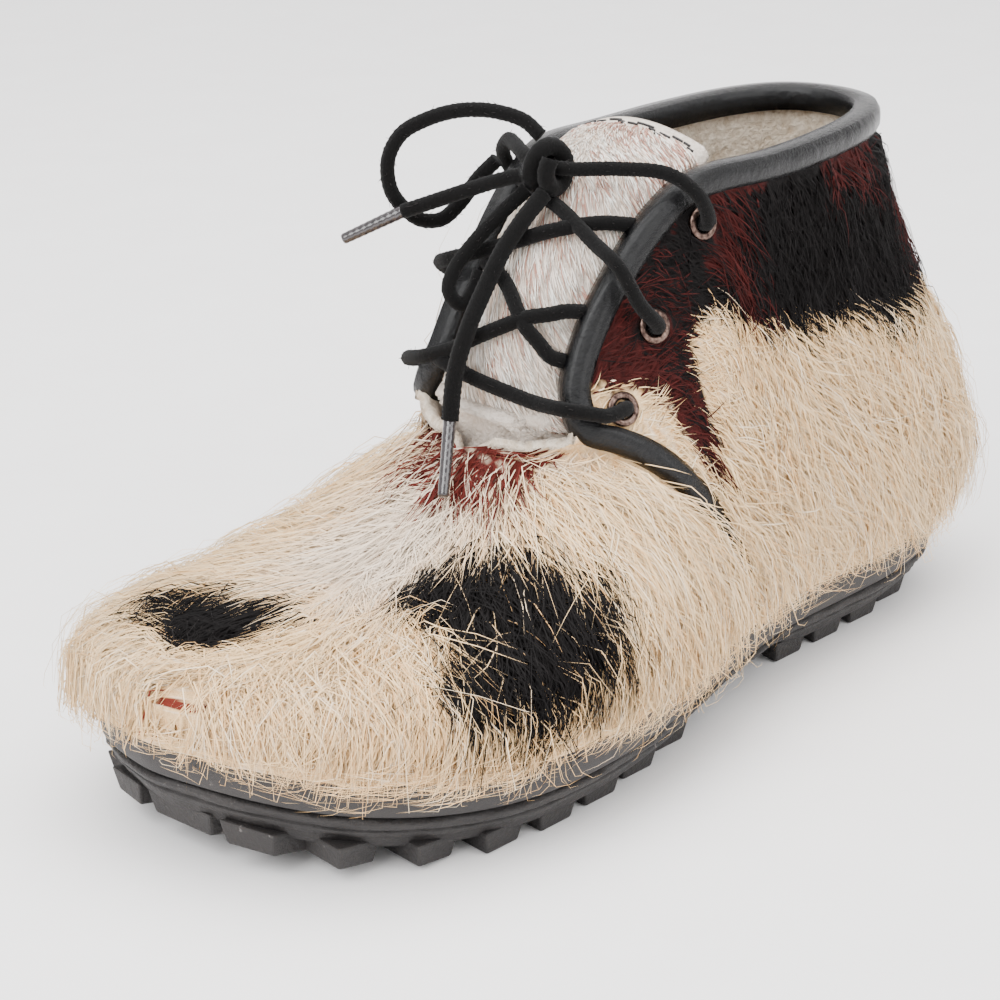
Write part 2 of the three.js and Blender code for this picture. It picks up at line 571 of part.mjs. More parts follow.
// Lock of fur that hugs the hide: a tapered wedge with its root fused into the wall.
function lock(side, place, rise, size) {
  const column = (at) => surface(side, at, rise);
  const perPlace = column(Math.min(place + 0.1, 19)).distanceTo(column(Math.max(place - 0.1, 0))) / 0.2;
  const half = Math.min(size.width / 2 / Math.max(perPlace, 1), 1.2);
  let tipRise = rise;
  let travelled = 0;
  let last = surface(side, place, rise);
  while (travelled < size.length && tipRise > 0.24) {
    tipRise -= 0.01;
    const next = surface(side, place, tipRise);
    travelled += next.distanceTo(last);
    last = next;
  }
  const at = (across, share, height) => {
    const level = rise + (tipRise - rise) * share;
    const clamped = Math.min(Math.max(place + across * half, 0), 19);
    return surface(side, clamped, level).addScaledVector(normalAt(side, clamped, level), height);
  };
  const base = stepAt(place);
  const rootRing = [[-0.6, -size.root], [0.6, -size.root], [0.4, base + size.height * 0.45], [-0.4, base + size.height * 0.45]];
  const bellyRing = [[-1, -size.root], [1, -size.root], [0.5, base + size.height], [-0.5, base + size.height]];
  const corners = [
    ...rootRing.map(([across, height]) => at(across, 0, height)),
    ...bellyRing.map(([across, height]) => at(across, 0.55, height)),
    at(0, 1, base + 1.2),
  ];
  return wedge(corners, side);
}

// Lock that hangs from the brim down over the rubber wall.
function hemLock(side, place, drop) {
  const perPlace = surface(side, Math.min(place + 0.1, 19), 0.25)
    .distanceTo(surface(side, Math.max(place - 0.1, 0), 0.25)) / 0.2;
  const half = HEM_LOCK.width / 2 / Math.max(perPlace, 1);
  const base = stepAt(place);
  const root = (across, height) => {
    const clamped = Math.min(Math.max(place + across * half, 0), 19);
    return surface(side, clamped, 0.36).addScaledVector(normalAt(side, clamped, 0.36), height);
  };
  const hang = (across, reach, below) => {
    const clamped = Math.min(Math.max(place + across * half, 0), 19);
    const row = sectionAt(clamped);
    const point = outlineAt(side, row.foot, -reach);
    return point.setZ(WALL_TOP + BRIM_RISE + spring(point.x) - below);
  };
  const brim = sectionAt(place).brim * BALL_WIDTH;
  const corners = [
    root(-0.7, -LOCK.root), root(0.7, -LOCK.root), root(0.5, base + 2.5), root(-0.5, base + 2.5),
    hang(-1, brim - 1.2, 0), hang(1, brim - 1.2, 0),
    hang(0.5, brim + base + HEM_LOCK.height, 3), hang(-0.5, brim + base + HEM_LOCK.height, 3),
    hang(0, HEM_LOCK.clearance + 1.6, BRIM_RISE + drop),
  ];
  return wedge(corners, side);
}

function wedge(corners, side) {
  const faces = [0, 1, 2, 0, 2, 3];
  for (let k = 0; k < 4; k += 1) {
    const next = (k + 1) % 4;
    faces.push(k, k + 4, next, next, k + 4, next + 4, k + 4, 8, next + 4);
  }
  return toSolid(geometryFrom(corners, side === LEFT ? faces : faces.reverse()));
}

// Seeded spread for the locks' lengths and places.
let seed = 7;
function spread() {
  seed = (seed * 16807) % 2147483647;
  return seed / 2147483647;
}

function furLocks() {
  const locks = [];
  for (const side of [LEFT, RIGHT]) {
    // Quarter: rows from under the collar down to the brim.
    for (const [rise, first, last, count] of [[0.88, 0.4, 4.6, 4], [0.7, 0.2, 7.2, 5], [0.5, 0.5, 10.0, 5]]) {
      for (let k = 0; k < count; k += 1) {
        const place = first + ((last - first) * k) / (count - 1);
        const length = LOCK.length * (0.85 + 0.3 * spread());
        locks.push(lock(side, place, rise + 0.03 * spread(), { ...LOCK, length }));
      }
    }
    // Vamp: rows from the ridge down to the brim.
    for (const [rise, first, last, count] of [[0.9, 14.1, 18.4, 3], [0.72, 12.7, 18.8, 5], [0.52, 12.4, 18.5, 5]]) {
      for (let k = 0; k < count; k += 1) {
        const place = first + ((last - first) * k) / (count - 1);
        const length = LOCK.length * (0.7 + 0.3 * spread());
        locks.push(lock(side, place, rise + 0.03 * spread(), { ...LOCK, length }));
      }
    }
    for (let place = 0.25; place < 19; place += place > 5.5 && place < 10.5 ? 2.4 : 1.25) {
      const drop = HEM_LOCK.drop * (0.35 + 0.65 * spread());
      locks.push(hemLock(side, place, drop));
    }
  }
  return locks;
}

// Where an eyelet sits: its middle on the hide and the way it faces.
function eyeletSeat(side, spec) {
  const rise = riseBelow(side, spec.section, spec.below);
  const middle = surface(side, spec.section, rise);
  return { middle, normal: normalAt(side, spec.section, rise) };
}

function turnTo(normal) {
  return new THREE.Quaternion().setFromUnitVectors(new THREE.Vector3(0, 1, 0), normal);
}

function eyeletHoles() {
  const holes = [];
  for (const side of [LEFT, RIGHT]) {
    for (const spec of Object.values(EYELETS)) {
      const { middle, normal } = eyeletSeat(side, spec);
      const geometry = new THREE.CylinderGeometry(EYELET.barrel + GAP, EYELET.barrel + GAP, 30, ROUND_SEGMENTS);
      geometry.applyQuaternion(turnTo(normal));
      geometry.translate(middle.x, middle.y, middle.z);
      holes.push(toSolid(geometry));
    }
  }
  return holes;
}

// Upper: one hollow hide shell with the quarter's step, fused locks and eyelet holes.
function makeUpper() {
  const { points, extra, faces } = hideSheet();
  const sheet = geometryFrom(points, faces);
  sheet.computeVertexNormals();
  const normals = sheet.getAttribute('normal');
  const moved = (distance) => points.map((point, k) => {
    const normal = new THREE.Vector3().fromBufferAttribute(normals, k);
    return point.clone().addScaledVector(normal, distance(k));
  });
  const outer = moved((k) => extra[k]);
  const inner = moved(() => -HIDE_WALL);
  const hide = toSolid(shell(outer, inner, faces));
  const furred = manifold.Manifold.union([hide, ...furLocks()]);
  return fromSolid(furred.subtract(manifold.Manifold.union(eyeletHoles())));
}

// Point of the tongue at a distance from its middle line. Under the facings and the vamp it
// follows the inside of the hide; between them it bridges the throat with a crown.
function tonguePoint(side, row, distance, offset) {
  const slack = TONGUE_SLACK * smoothstep(QUARTER_FRONT - 1, QUARTER_FRONT + 0.5, row.section);
  const sunk = HIDE_WALL + BINDING_THICKNESS + 2.5 * GAP + TONGUE_THICKNESS / 2 + slack;
  const hidden = (which, below) => {
    const rise = below > 0 ? riseBelow(which, row.section, below) : 1;
    return surface(which, row.section, rise).addScaledVector(normalAt(which, row.section, rise), offset - sunk);
  };
  const facing = hidden(side, 0);
  const middle = hidden(-side, 0).lerp(facing, 0.5);
  const span = Math.abs(facing.y - middle.y);
  const shift = new THREE.Vector3(-row.back * LENGTH, 0, row.above * COLLAR_HEIGHT);
  if (distance >= span) return hidden(side, distance - span).add(shift);
  const share = distance / span;
  const lower = surface(LEFT, Math.min(row.section + 0.5, RIDGE_START), 1);
  const upper = surface(LEFT, row.section - 0.5, 1);
  const front = new THREE.Vector3(upper.z - lower.z, 0, lower.x - upper.x).normalize();
  const crown = row.crown * TONGUE_CROWN * (1 - share * share);
  return middle.lerp(facing, share).addScaledVector(front, crown).add(shift);
}

// Tongue: a curved sheet from under the vamp to above the collar.
function makeTongue() {
  const across = [
    ...TONGUE_ACROSS.slice(1).reverse().map((share) => [RIGHT, share]),
    ...TONGUE_ACROSS.map((share) => [LEFT, share]),
  ];
  const sheetAt = (offset) => TONGUE.flatMap((row) => (
    across.map(([side, share]) => tonguePoint(side, row, share * row.half * TONGUE_HALF_WIDTH, offset))
  ));
  const faces = [];
  const width = across.length;
  for (let level = 0; level + 1 < TONGUE.length; level += 1) {
    for (let k = 0; k + 1 < width; k += 1) {
      const a = level * width + k;
      faces.push(a, a + 1, a + width + 1, a, a + width + 1, a + width);
    }
  }
  return shell(sheetAt(TONGUE_THICKNESS / 2), sheetAt(-TONGUE_THICKNESS / 2), faces);
}

// Edge of the quarters from the left facing's foot round the collar to the right one.
function bindingStations() {
  const places = COLUMNS.filter((place) => place <= BINDING_END);
  const stops = [
    ...[...places].reverse().map((place) => [LEFT, place]),
    ...places.slice(1).map((place) => [RIGHT, place]),
  ];
  const edge = stops.map(([side, place]) => surface(side, place, 1));
  return stops.map(([side, place], k) => {
    const along = edge[Math.min(k + 1, edge.length - 1)].clone().sub(edge[Math.max(k - 1, 0)]).normalize();
    const up = surface(side, place, 1).sub(surface(side, place, 0.94));
    up.addScaledVector(along, -up.dot(along)).normalize();
    const out = normalAt(side, place, 1);
    out.addScaledVector(along, -out.dot(along)).addScaledVector(up, -out.dot(up)).normalize();
    return { point: edge[k], up, out };
  });
}

// Binding: a rolled strip folded over the hide's edge, as a U section swept along it.
function makeBinding() {
  const outside = QUARTER_STEP + GAP;
  const inside = -HIDE_WALL - GAP;
  const t = BINDING_THICKNESS;
  const profile = [
    [outside + t, -BINDING_DEPTH], [outside + t, GAP], [outside, GAP + t], [inside, GAP + t],
    [inside - t, GAP], [inside - t, -BINDING_DEPTH], [inside, -BINDING_DEPTH], [inside, GAP],
    [outside, GAP], [outside, -BINDING_DEPTH],
  ];
  const stations = bindingStations();
  const points = stations.flatMap(({ point, up, out }) => (
    profile.map(([o, u]) => point.clone().addScaledVector(out, o).addScaledVector(up, u))
  ));
  const count = profile.length;
  const faces = [];
  for (let k = 0; k + 1 < stations.length; k += 1) {
    for (let j = 0; j < count; j += 1) {
      const a = k * count + j;
      const b = k * count + ((j + 1) % count);
      faces.push(a, a + count, b, b, a + count, b + count);
    }
  }
  const flat = profile.map(([o, u]) => new THREE.Vector2(o, u));
  const last = (stations.length - 1) * count;
  const flipped = THREE.ShapeUtils.isClockWise(flat);
  for (const corners of THREE.ShapeUtils.triangulateShape(flat, [])) {
    const [a, b, c] = flipped ? [...corners].reverse() : corners;
    faces.push(a, b, c, last + a, last + c, last + b);
  }
  return fromSolid(toSolid(geometryFrom(points, faces)));
}

// Eyelet: a rolled ring on the hide with a barrel through it.
function makeEyelet(side, spec) {
  const seat = QUARTER_STEP + 2 * GAP;
  const profile = [
    [EYELET.hole, seat + EYELET.rim * 0.6], [EYELET.barrel, seat + EYELET.rim],
    [EYELET.outer, seat + EYELET.rim * 0.4], [EYELET.outer, seat],
    [EYELET.barrel, seat], [EYELET.barrel, -HIDE_WALL], [EYELET.hole, -HIDE_WALL],
    [EYELET.hole, seat + EYELET.rim * 0.6],
  ].map(([radius, height]) => new THREE.Vector2(radius, height));
  const geometry = new THREE.LatheGeometry(profile.reverse(), ROUND_SEGMENTS);
  const { middle, normal } = eyeletSeat(side, spec);
  geometry.applyQuaternion(turnTo(normal));
  geometry.translate(middle.x, middle.y, middle.z);
  return geometry;
}

// Round tube of a diameter along a curve, with flat ends.
function tube(curve, diameter, steps) {
  const section = new THREE.Shape();
  for (let k = 0; k < LACE_SIDES; k += 1) {
    const angle = (2 * Math.PI * k) / LACE_SIDES;
    const [x, y] = [Math.cos(angle) * diameter / 2, Math.sin(angle) * diameter / 2];
    if (k === 0) section.moveTo(x, y);
    else section.lineTo(x, y);
  }
  section.closePath();
  return new THREE.ExtrudeGeometry(section, { steps, extrudePath: curve, bevelEnabled: false });
}

// Point from shares of the boot's length, ball width and collar height.
function shareOfBoot([x, y, z]) {
  return new THREE.Vector3(x * LENGTH, y * BALL_WIDTH, z * COLLAR_HEIGHT);
}

// Point of a lace's middle line from one stop of its table.
function lacePoint(stop) {
  if (typeof stop[0] === 'number') return shareOfBoot(stop);
  const [name, ...shift] = stop;
  const offset = new THREE.Vector3(...shift);
  if (name === 'knot') return shareOfBoot(KNOT.at).add(offset);
  const [side, place] = name.split(' ');
  const { middle, normal } = eyeletSeat(side === 'left' ? LEFT : RIGHT, EYELETS[place]);
  return middle.addScaledVector(normal, QUARTER_STEP + EYELET.rim + GAP + LACE_DIAMETER / 2).add(offset);
}

function laceTube(path, diameter) {
  const curve = new THREE.CatmullRomCurve3(path.map(lacePoint));
  return tube(curve, diameter, Math.max(3, Math.round(curve.getLength() / LACE_STEP)));
}

// Lace between the eyelets: the runs of one level joined where they cross.
function makeLaceBars(runs) {
  const solids = runs.map((path) => toSolid(laceTube(path, LACE_DIAMETER)));
  return fromSolid(manifold.Manifold.union(solids));
}

// Knot: the lace wrapped round the top run, as turns worked out from the knot's sizes.
function makeKnot() {
  const { x, y, z } = shareOfBoot(KNOT.at);
  const radius = (LACE_DIAMETER + KNOT.cord) / 2 + 3 * GAP;
  const points = [];
  for (let k = 0; k <= KNOT.steps; k += 1) {
    const turn = KNOT.turns * (k / KNOT.steps - 0.5);
    const angle = 2 * Math.PI * turn + Math.PI / 2;
    const across = y + KNOT.pitch * turn;
    points.push(new THREE.Vector3(x + radius * Math.cos(angle), across, z + radius * Math.sin(angle)));
  }
  return tube(new THREE.CatmullRomCurve3(points), KNOT.cord, KNOT.steps);
}

// Aglet: a stiff tip that goes on from its lace end after a small gap.
function makeAglet(spec) {
  const last = lacePoint(LACE_CORDS[spec.end].path.at(-1));
  const tip = lacePoint(spec.tip);
  const start = last.clone().addScaledVector(tip.clone().sub(last).normalize(), 2 * GAP);
  return tube(new THREE.LineCurve3(start, tip), AGLET_DIAMETER, 1);
}

const boot = new THREE.Group();

function add(name, geometry, material) {
  const mesh = new THREE.Mesh(geometry, material.clone());
  mesh.name = name;
  mesh.position.x = -HEEL_SPOT;
  boot.add(mesh);
}

add('outsole', makeOutsole(), MATERIALS.tread);
add('midsole_cup', makeCup(), MATERIALS.rubber);
add('insole', makeInsole(), MATERIALS.felt);
add('upper', makeUpper(), MATERIALS.fur);
add('tongue', makeTongue(), MATERIALS.tongue);
add('binding', makeBinding(), MATERIALS.binding);
for (const [side, word] of [[LEFT, 'left'], [RIGHT, 'right']]) {
  Object.values(EYELETS).forEach((spec, k) => {
    add(`eyelet_${word}_${k + 1}`, makeEyelet(side, spec), MATERIALS.metal);
  });
}

for (const [name, runs] of Object.entries(LACE_BARS)) {
  add(name, makeLaceBars(runs), MATERIALS.lace);
}
add('lace_knot', makeKnot(), MATERIALS.lace);
for (const [name, cord] of Object.entries(LACE_CORDS)) {
  add(name, laceTube(cord.path, cord.diameter), MATERIALS.lace);
}
for (const [name, spec] of Object.entries(AGLETS)) {
  add(name, makeAglet(spec), MATERIALS.aglet);
}

export default boot;
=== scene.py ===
"""Low lace-up winter boot with a long-haired hide upper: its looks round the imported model.

Shapes are worked out in millimetres from the heel's back, as the solids are, and to_frame
turns them into metres in the shared frame.
"""
import math

import bmesh
import bpy
import numpy as np
from mathutils import Matrix, Vector


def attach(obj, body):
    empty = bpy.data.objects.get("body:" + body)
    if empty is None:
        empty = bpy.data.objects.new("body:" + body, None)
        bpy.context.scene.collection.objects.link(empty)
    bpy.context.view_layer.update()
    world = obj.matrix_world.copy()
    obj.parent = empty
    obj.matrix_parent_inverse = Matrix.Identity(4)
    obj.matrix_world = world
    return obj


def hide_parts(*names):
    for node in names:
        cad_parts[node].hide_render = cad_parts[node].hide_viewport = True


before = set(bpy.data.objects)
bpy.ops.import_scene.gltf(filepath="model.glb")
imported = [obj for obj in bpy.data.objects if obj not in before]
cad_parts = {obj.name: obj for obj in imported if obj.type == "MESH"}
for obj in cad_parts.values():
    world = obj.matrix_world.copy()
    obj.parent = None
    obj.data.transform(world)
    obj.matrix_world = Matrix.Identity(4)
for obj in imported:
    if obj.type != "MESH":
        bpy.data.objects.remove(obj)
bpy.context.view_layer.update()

MM = 0.001
LEFT, RIGHT = 1.0, -1.0
SEED = 41

# Sizes of the boot, in millimetres.
LENGTH = 289.0
BALL_WIDTH = 116.0
COLLAR_HEIGHT = 147.0
HEEL_SPOT = 49.0
GAP = 0.3
TREAD_DEPTH = 4.5
CUP_FLOOR = 18.0
WALL_TOP = 27.0
WALL_THICKNESS = 5.0
SOLE_POINTS = 560  # points round each ring of the sole
TOE_SPRING = 10.0
SPRING_START = 0.79
ARCH_RISE = 5.0
HIDE_WALL = 3.0
QUARTER_STEP = 1.6
QUARTER_FRONT = 11.0
RIDGE_START = 13.0
LAST_SECTION = 19.0
BRIM_RISE = 8.0
BRIM_LEVEL = 0.2
HANG_SCALE = 120.0  # millimetres that a lock hangs for each unit of level under the brim
TONGUE_THICKNESS = 3.2
TONGUE_HALF_WIDTH = 33.0
TONGUE_CROWN = 8.0
TONGUE_SLACK = 2.0
TONGUE_ROWS = 72
TONGUE_COLUMNS = 44
TONGUE_HAIRS = 5600
BINDING_THICKNESS = 1.2
BINDING_DEPTH = 5.6
EYELET_OUTER = 4.6
EYELET_HOLE = 2.5
LACE_DIAMETER = 4.0
LONG_END_DIAMETER = 4.8
AGLET_DIAMETER = 3.2

# Outline of the rubber wall: share of LENGTH, then shares of BALL_WIDTH to each side.
OUTLINE = np.array([
    (0.000, 0.000, 0.000), (0.010, 0.129, 0.129), (0.038, 0.224, 0.224), (0.087, 0.297, 0.289),
    (0.163, 0.341, 0.323), (0.249, 0.349, 0.319), (0.336, 0.353, 0.293), (0.422, 0.388, 0.284),
    (0.509, 0.440, 0.328), (0.595, 0.491, 0.397), (0.682, 0.517, 0.457), (0.761, 0.509, 0.491),
    (0.827, 0.461, 0.500), (0.889, 0.388, 0.483), (0.938, 0.293, 0.414), (0.972, 0.164, 0.310),
    (0.993, 0.017, 0.172), (1.000, -0.078, 0.078),
])

# Sections of the upper from the heel's back to the toe, as in the solids.
SECTION_COLUMNS = ("foot", "x", "out", "shift", "z", "rise", "drop", "flare", "brim")
SECTIONS = np.array([
    (0.000, 0.100, 0.000, 0.000, 1.000, 0.42, 0.30, 0.00, 0.020),
    (0.083, 0.118, 0.128, 0.000, 1.000, 0.42, 0.30, 0.00, 0.020),
    (0.151, 0.170, 0.205, 0.000, 0.998, 0.42, 0.30, 0.00, 0.020),
    (0.224, 0.249, 0.243, 0.000, 0.995, 0.42, 0.28, 0.00, 0.020),
    (0.296, 0.336, 0.252, 0.000, 0.993, 0.42, 0.26, 0.05, 0.020),
    (0.354, 0.408, 0.240, 0.000, 0.997, 0.42, 0.24, 0.10, 0.020),
    (0.377, 0.448, 0.224, 0.000, 0.984, 0.42, 0.20, 0.18, 0.020),
    (0.394, 0.491, 0.207, 0.000, 0.932, 0.42, 0.16, 0.26, 0.020),
    (0.408, 0.533, 0.194, 0.000, 0.852, 0.42, 0.12, 0.32, 0.020),
    (0.422, 0.568, 0.190, 0.000, 0.767, 0.42, 0.09, 0.38, 0.020),
    (0.435, 0.593, 0.198, 0.000, 0.675, 0.42, 0.06, 0.42, 0.020),
    (0.450, 0.602, 0.232, 0.000, 0.588, 0.42, 0.03, 0.45, 0.022),
    (0.516, 0.624, 0.136, -0.012, 0.562, 0.45, 0.00, 0.50, 0.026),
    (0.575, 0.640, 0.000, -0.028, 0.546, 0.50, 0.00, 0.55, 0.028),
    (0.639, 0.682, 0.000, -0.036, 0.455, 0.52, 0.00, 0.58, 0.028),
    (0.699, 0.727, 0.000, -0.045, 0.398, 0.55, 0.00, 0.60, 0.026),
    (0.765, 0.785, 0.000, -0.055, 0.364, 0.58, 0.00, 0.60, 0.024),
    (0.831, 0.843, 0.000, -0.064, 0.350, 0.60, 0.00, 0.60, 0.022),
    (0.905, 0.890, 0.000, -0.071, 0.340, 0.62, 0.00, 0.58, 0.020),
    (1.000, 0.918, 0.000, -0.078, 0.333, 0.64, 0.00, 0.56, 0.020),
])
MIRROR_SIGNS = np.array([-1, 1, -1, 1, 1, 1, 1, 1, 1])

EYELETS = ((10.1, 15.0), (8.2, 17.0), (5.9, 11.5))  # section, distance below the facing's edge


# Shape of the boot, shared by hide, fur, lining and trim.
def smoothstep(low, high, value):
    """Cubic ease from 0 to 1 between low and high."""
    share = np.clip((value - low) / (high - low), 0, 1)
    return share * share * (3 - 2 * share)


def curve_through(points, per_span, closed=False):
    """Smooth line through points: each span is a cubic whose end slopes come from its
    neighbours, weighted by the square roots of the distances between the points."""
    points = np.asarray(points, float)
    if closed:
        padded = np.vstack([points[-1:], points, points[:2]])
    else:
        padded = np.vstack([2 * points[0] - points[1], points, 2 * points[-1] - points[-2]])
    a, b, c, d = padded[:-3], padded[1:-2], padded[2:-1], padded[3:]
    gap = [np.sqrt(np.linalg.norm(q - p, axis=1))[:, None] for p, q in ((a, b), (b, c), (c, d))]
    leave = ((b - a) / gap[0] - (c - a) / (gap[0] + gap[1]) + (c - b) / gap[1]) * gap[1]
    reach = ((c - b) / gap[1] - (d - b) / (gap[1] + gap[2]) + (d - c) / gap[2]) * gap[1]
    t = np.linspace(0, 1, per_span, endpoint=False)[None, :, None]
    span = (b[:, None] + leave[:, None] * t + (-3 * b + 3 * c - 2 * leave - reach)[:, None] * t ** 2
            + (2 * b - 2 * c + leave + reach)[:, None] * t ** 3)
    line = span.reshape(-1, points.shape[1])
    return line if closed else np.vstack([line, points[-1:]])


def even_steps(line, step):
    """Points of a line moved to equal distances, near to step."""
    length = np.concatenate([[0], np.cumsum(np.linalg.norm(np.diff(line, axis=0), axis=1))])
    count = max(2, int(round(length[-1] / step)) + 1)
    stops = np.linspace(0, length[-1], count)
    return np.stack([np.interp(stops, length, line[:, k]) for k in range(line.shape[1])], axis=1)


def outline_table():
    """Dense closed outline with its running length, its directions and the toe's share."""
    left = np.stack([OUTLINE[:, 0] * LENGTH, OUTLINE[:, 1] * BALL_WIDTH], axis=1)
    right = np.stack([OUTLINE[:, 0] * LENGTH, -OUTLINE[:, 2] * BALL_WIDTH], axis=1)[1:-1]
    loop = curve_through(np.vstack([left, right[::-1]]), 80, closed=True)
    loop = np.vstack([loop, loop[:1]])
    run = np.concatenate([[0], np.cumsum(np.linalg.norm(np.diff(loop, axis=0), axis=1))])
    slope = np.gradient(loop, run, axis=0)
    slope /= np.linalg.norm(slope, axis=1)[:, None]
    return loop, run / run[-1], slope, run[80 * (len(OUTLINE) - 1)] / run[-1]


OUTLINE_LOOP, OUTLINE_RUN, OUTLINE_SLOPE, TOE_SHARE = outline_table()


def outline_at(side, share, inset):
    """Point of the outline at a share of one side's length, moved inwards square to it."""
    along = np.where(side > 0, share * TOE_SHARE, 1 - share * (1 - TOE_SHARE)) % 1.0
    x, y = (np.interp(along, OUTLINE_RUN, OUTLINE_LOOP[:, k]) for k in (0, 1))
    sx, sy = (np.interp(along, OUTLINE_RUN, OUTLINE_SLOPE[:, k]) for k in (0, 1))
    return np.stack([x + sy * inset, y - sx * inset], axis=-1)


def spring(x):
    """Rise of the sole towards the toe."""
    share = np.maximum(x / LENGTH - SPRING_START, 0) / (1 - SPRING_START)
    return TOE_SPRING * share ** 1.8


def arch(x):
    """Rise of the sole's underside at the waist."""
    share = x / LENGTH
    return ARCH_RISE * (smoothstep(0.28, 0.38, share) - smoothstep(0.46, 0.56, share))


def section_at(place):
    """Columns of SECTIONS at a place between two rows, by a cubic whose end slopes come from
    the rows on either side."""
    rows = np.vstack([SECTIONS[1] * MIRROR_SIGNS, SECTIONS, SECTIONS[-1:]])
    place = np.clip(np.asarray(place, float), 0, LAST_SECTION)
    index = np.minimum(place.astype(int), len(SECTIONS) - 2)
    f = (place - index)[..., None]
    p, q, r, s = (rows[index + k] for k in range(4))
    value = q + 0.5 * f * (r - p + f * (2 * p - 5 * q + 4 * r - s + f * (3 * (q - r) + s - p)))
    return {name: value[..., k] for k, name in enumerate(SECTION_COLUMNS)}


def skin(side, place, level):
    """Outer face of the hide. Above the brim each section is a cubic from the brim to the edge,
    drawn by two guide points. Below it the face goes on as a sheet that hangs straight down
    outside the wall."""
    side, place, level = np.broadcast_arrays(np.asarray(side, float), place, level)
    row = section_at(place)
    flat = outline_at(side, row["foot"], -row["brim"] * BALL_WIDTH)
    foot_x = outline_at(side, row["foot"], WALL_THICKNESS + GAP)[..., 0]
    brim = np.stack([flat[..., 0], flat[..., 1], WALL_TOP + BRIM_RISE + spring(foot_x)], axis=-1)
    edge = np.stack([row["x"] * LENGTH, (side * row["out"] + row["shift"]) * BALL_WIDTH,
                     row["z"] * COLLAR_HEIGHT], axis=-1)
    height = edge[..., 2] - brim[..., 2]
    upright = brim.copy()
    upright[..., 2] += row["rise"] * height
    level_end = edge + (brim - edge) * row["flare"][..., None]
    level_end[..., 2] = edge[..., 2] - row["drop"] * height
    t = np.clip((level - BRIM_LEVEL) / (1 - BRIM_LEVEL), 0, 1)[..., None]
    point = ((1 - t) ** 3 * brim + 3 * (1 - t) ** 2 * t * upright
             + 3 * (1 - t) * t * t * level_end + t ** 3 * edge)
    point[..., 2] -= np.maximum(BRIM_LEVEL - level, 0) * HANG_SCALE
    return point


def skin_frame(side, place, level):
    """Point of the hide with its two slopes (per section, per level) and outward normal."""
    a, b = np.clip(place - 0.04, 0, LAST_SECTION), np.clip(place + 0.04, 0, LAST_SECTION)
    c, d = np.minimum(level, 0.99) - 0.01, np.minimum(level, 0.99) + 0.01
    along = (skin(side, b, level) - skin(side, a, level)) / (b - a)[..., None]
    up = (skin(side, place, d) - skin(side, place, c)) / 0.02
    inner = np.minimum(level, 0.97)
    along_inner = skin(side, b, inner) - skin(side, a, inner)
    normal = np.cross(up, along_inner) * np.asarray(side, float)[..., None]
    normal /= np.maximum(np.linalg.norm(normal, axis=-1), 1e-9)[..., None]
    return skin(side, place, level), along, up, normal


def level_below(side, place, distance):
    """Level that lies a distance along the section below its upper end."""
    levels = np.linspace(1, BRIM_LEVEL, 400)
    line = skin(side, np.full(400, float(place)), levels)
    run = np.concatenate([[0], np.cumsum(np.linalg.norm(np.diff(line, axis=0), axis=1))])
    return float(np.interp(distance, run, levels))


def eyelet_seat(side, number):
    """Middle of an eyelet on the hide, and the way that it faces."""
    place, below = EYELETS[number]
    level = level_below(side, place, below)
    point, _, _, normal = skin_frame(np.array([side]), np.array([place]), np.array([level]))
    return point[0], normal[0]


def quarter_step(place, level):
    """The quarter lies over the vamp, one hide's thickness proud."""
    return QUARTER_STEP * (1 - smoothstep(11.0, 11.08, place)) * smoothstep(0.1, 0.25, level)


# Meshes and materials.
def to_frame(points):
    """Millimetres from the heel's back to metres in the shared frame."""
    return (np.asarray(points, float) - [HEEL_SPOT, 0, 0]) * MM


def finish_piece(name, mesh, materials, replaced=(), smooth=True):
    """Object for a mesh at the origin, riding on the boot's one body."""
    piece = bpy.data.objects.new(name, mesh)
    bpy.context.scene.collection.objects.link(piece)
    for material in materials:
        mesh.materials.append(material)
    mesh.polygons.foreach_set("use_smooth", np.full(len(mesh.polygons), smooth))
    mesh.update()
    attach(piece, "root")
    if replaced:
        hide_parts(*replaced)
    return piece


def mesh_from(name, points, faces):
    """Mesh of points in millimetres and faces of three or four corners, as one array each."""
    mesh = bpy.data.meshes.new(name)
    groups = [np.asarray(group, np.int32) for group in faces if len(group)]
    corners = np.concatenate([group.ravel() for group in groups])
    sizes = np.concatenate([np.full(len(group), group.shape[1], np.int32) for group in groups])
    mesh.vertices.add(len(points))
    mesh.vertices.foreach_set("co", to_frame(points).astype(np.float32).ravel())
    mesh.loops.add(len(corners))
    mesh.loops.foreach_set("vertex_index", corners)
    mesh.polygons.add(len(sizes))
    mesh.polygons.foreach_set("loop_start", np.concatenate([[0], np.cumsum(sizes)[:-1]]).astype(np.int32))
    mesh.polygons.foreach_set("loop_total", sizes)
    mesh.update(calc_edges=True)
    mesh.validate()
    return mesh


def face_outwards(mesh, merge=0.0):
    """Merges doubles closer than merge millimetres and turns every face outwards."""
    work = bmesh.new()
    work.from_mesh(mesh)
    if merge:
        bmesh.ops.remove_doubles(work, verts=work.verts, dist=merge * MM)
    bmesh.ops.recalc_face_normals(work, faces=work.faces)
    work.to_mesh(mesh)
    work.free()
    return mesh


def grid_faces(rows, columns, offset=0, around=False):
    """Quads of a grid of rows by columns. around joins each row's end to its start."""
    r = np.arange(rows - 1)[:, None]
    c = np.arange(columns if around else columns - 1)[None, :]
    a = r * columns + c
    b = r * columns + (c + 1) % columns
    return np.stack([a, b, b + columns, a + columns], axis=-1).reshape(-1, 4) + offset


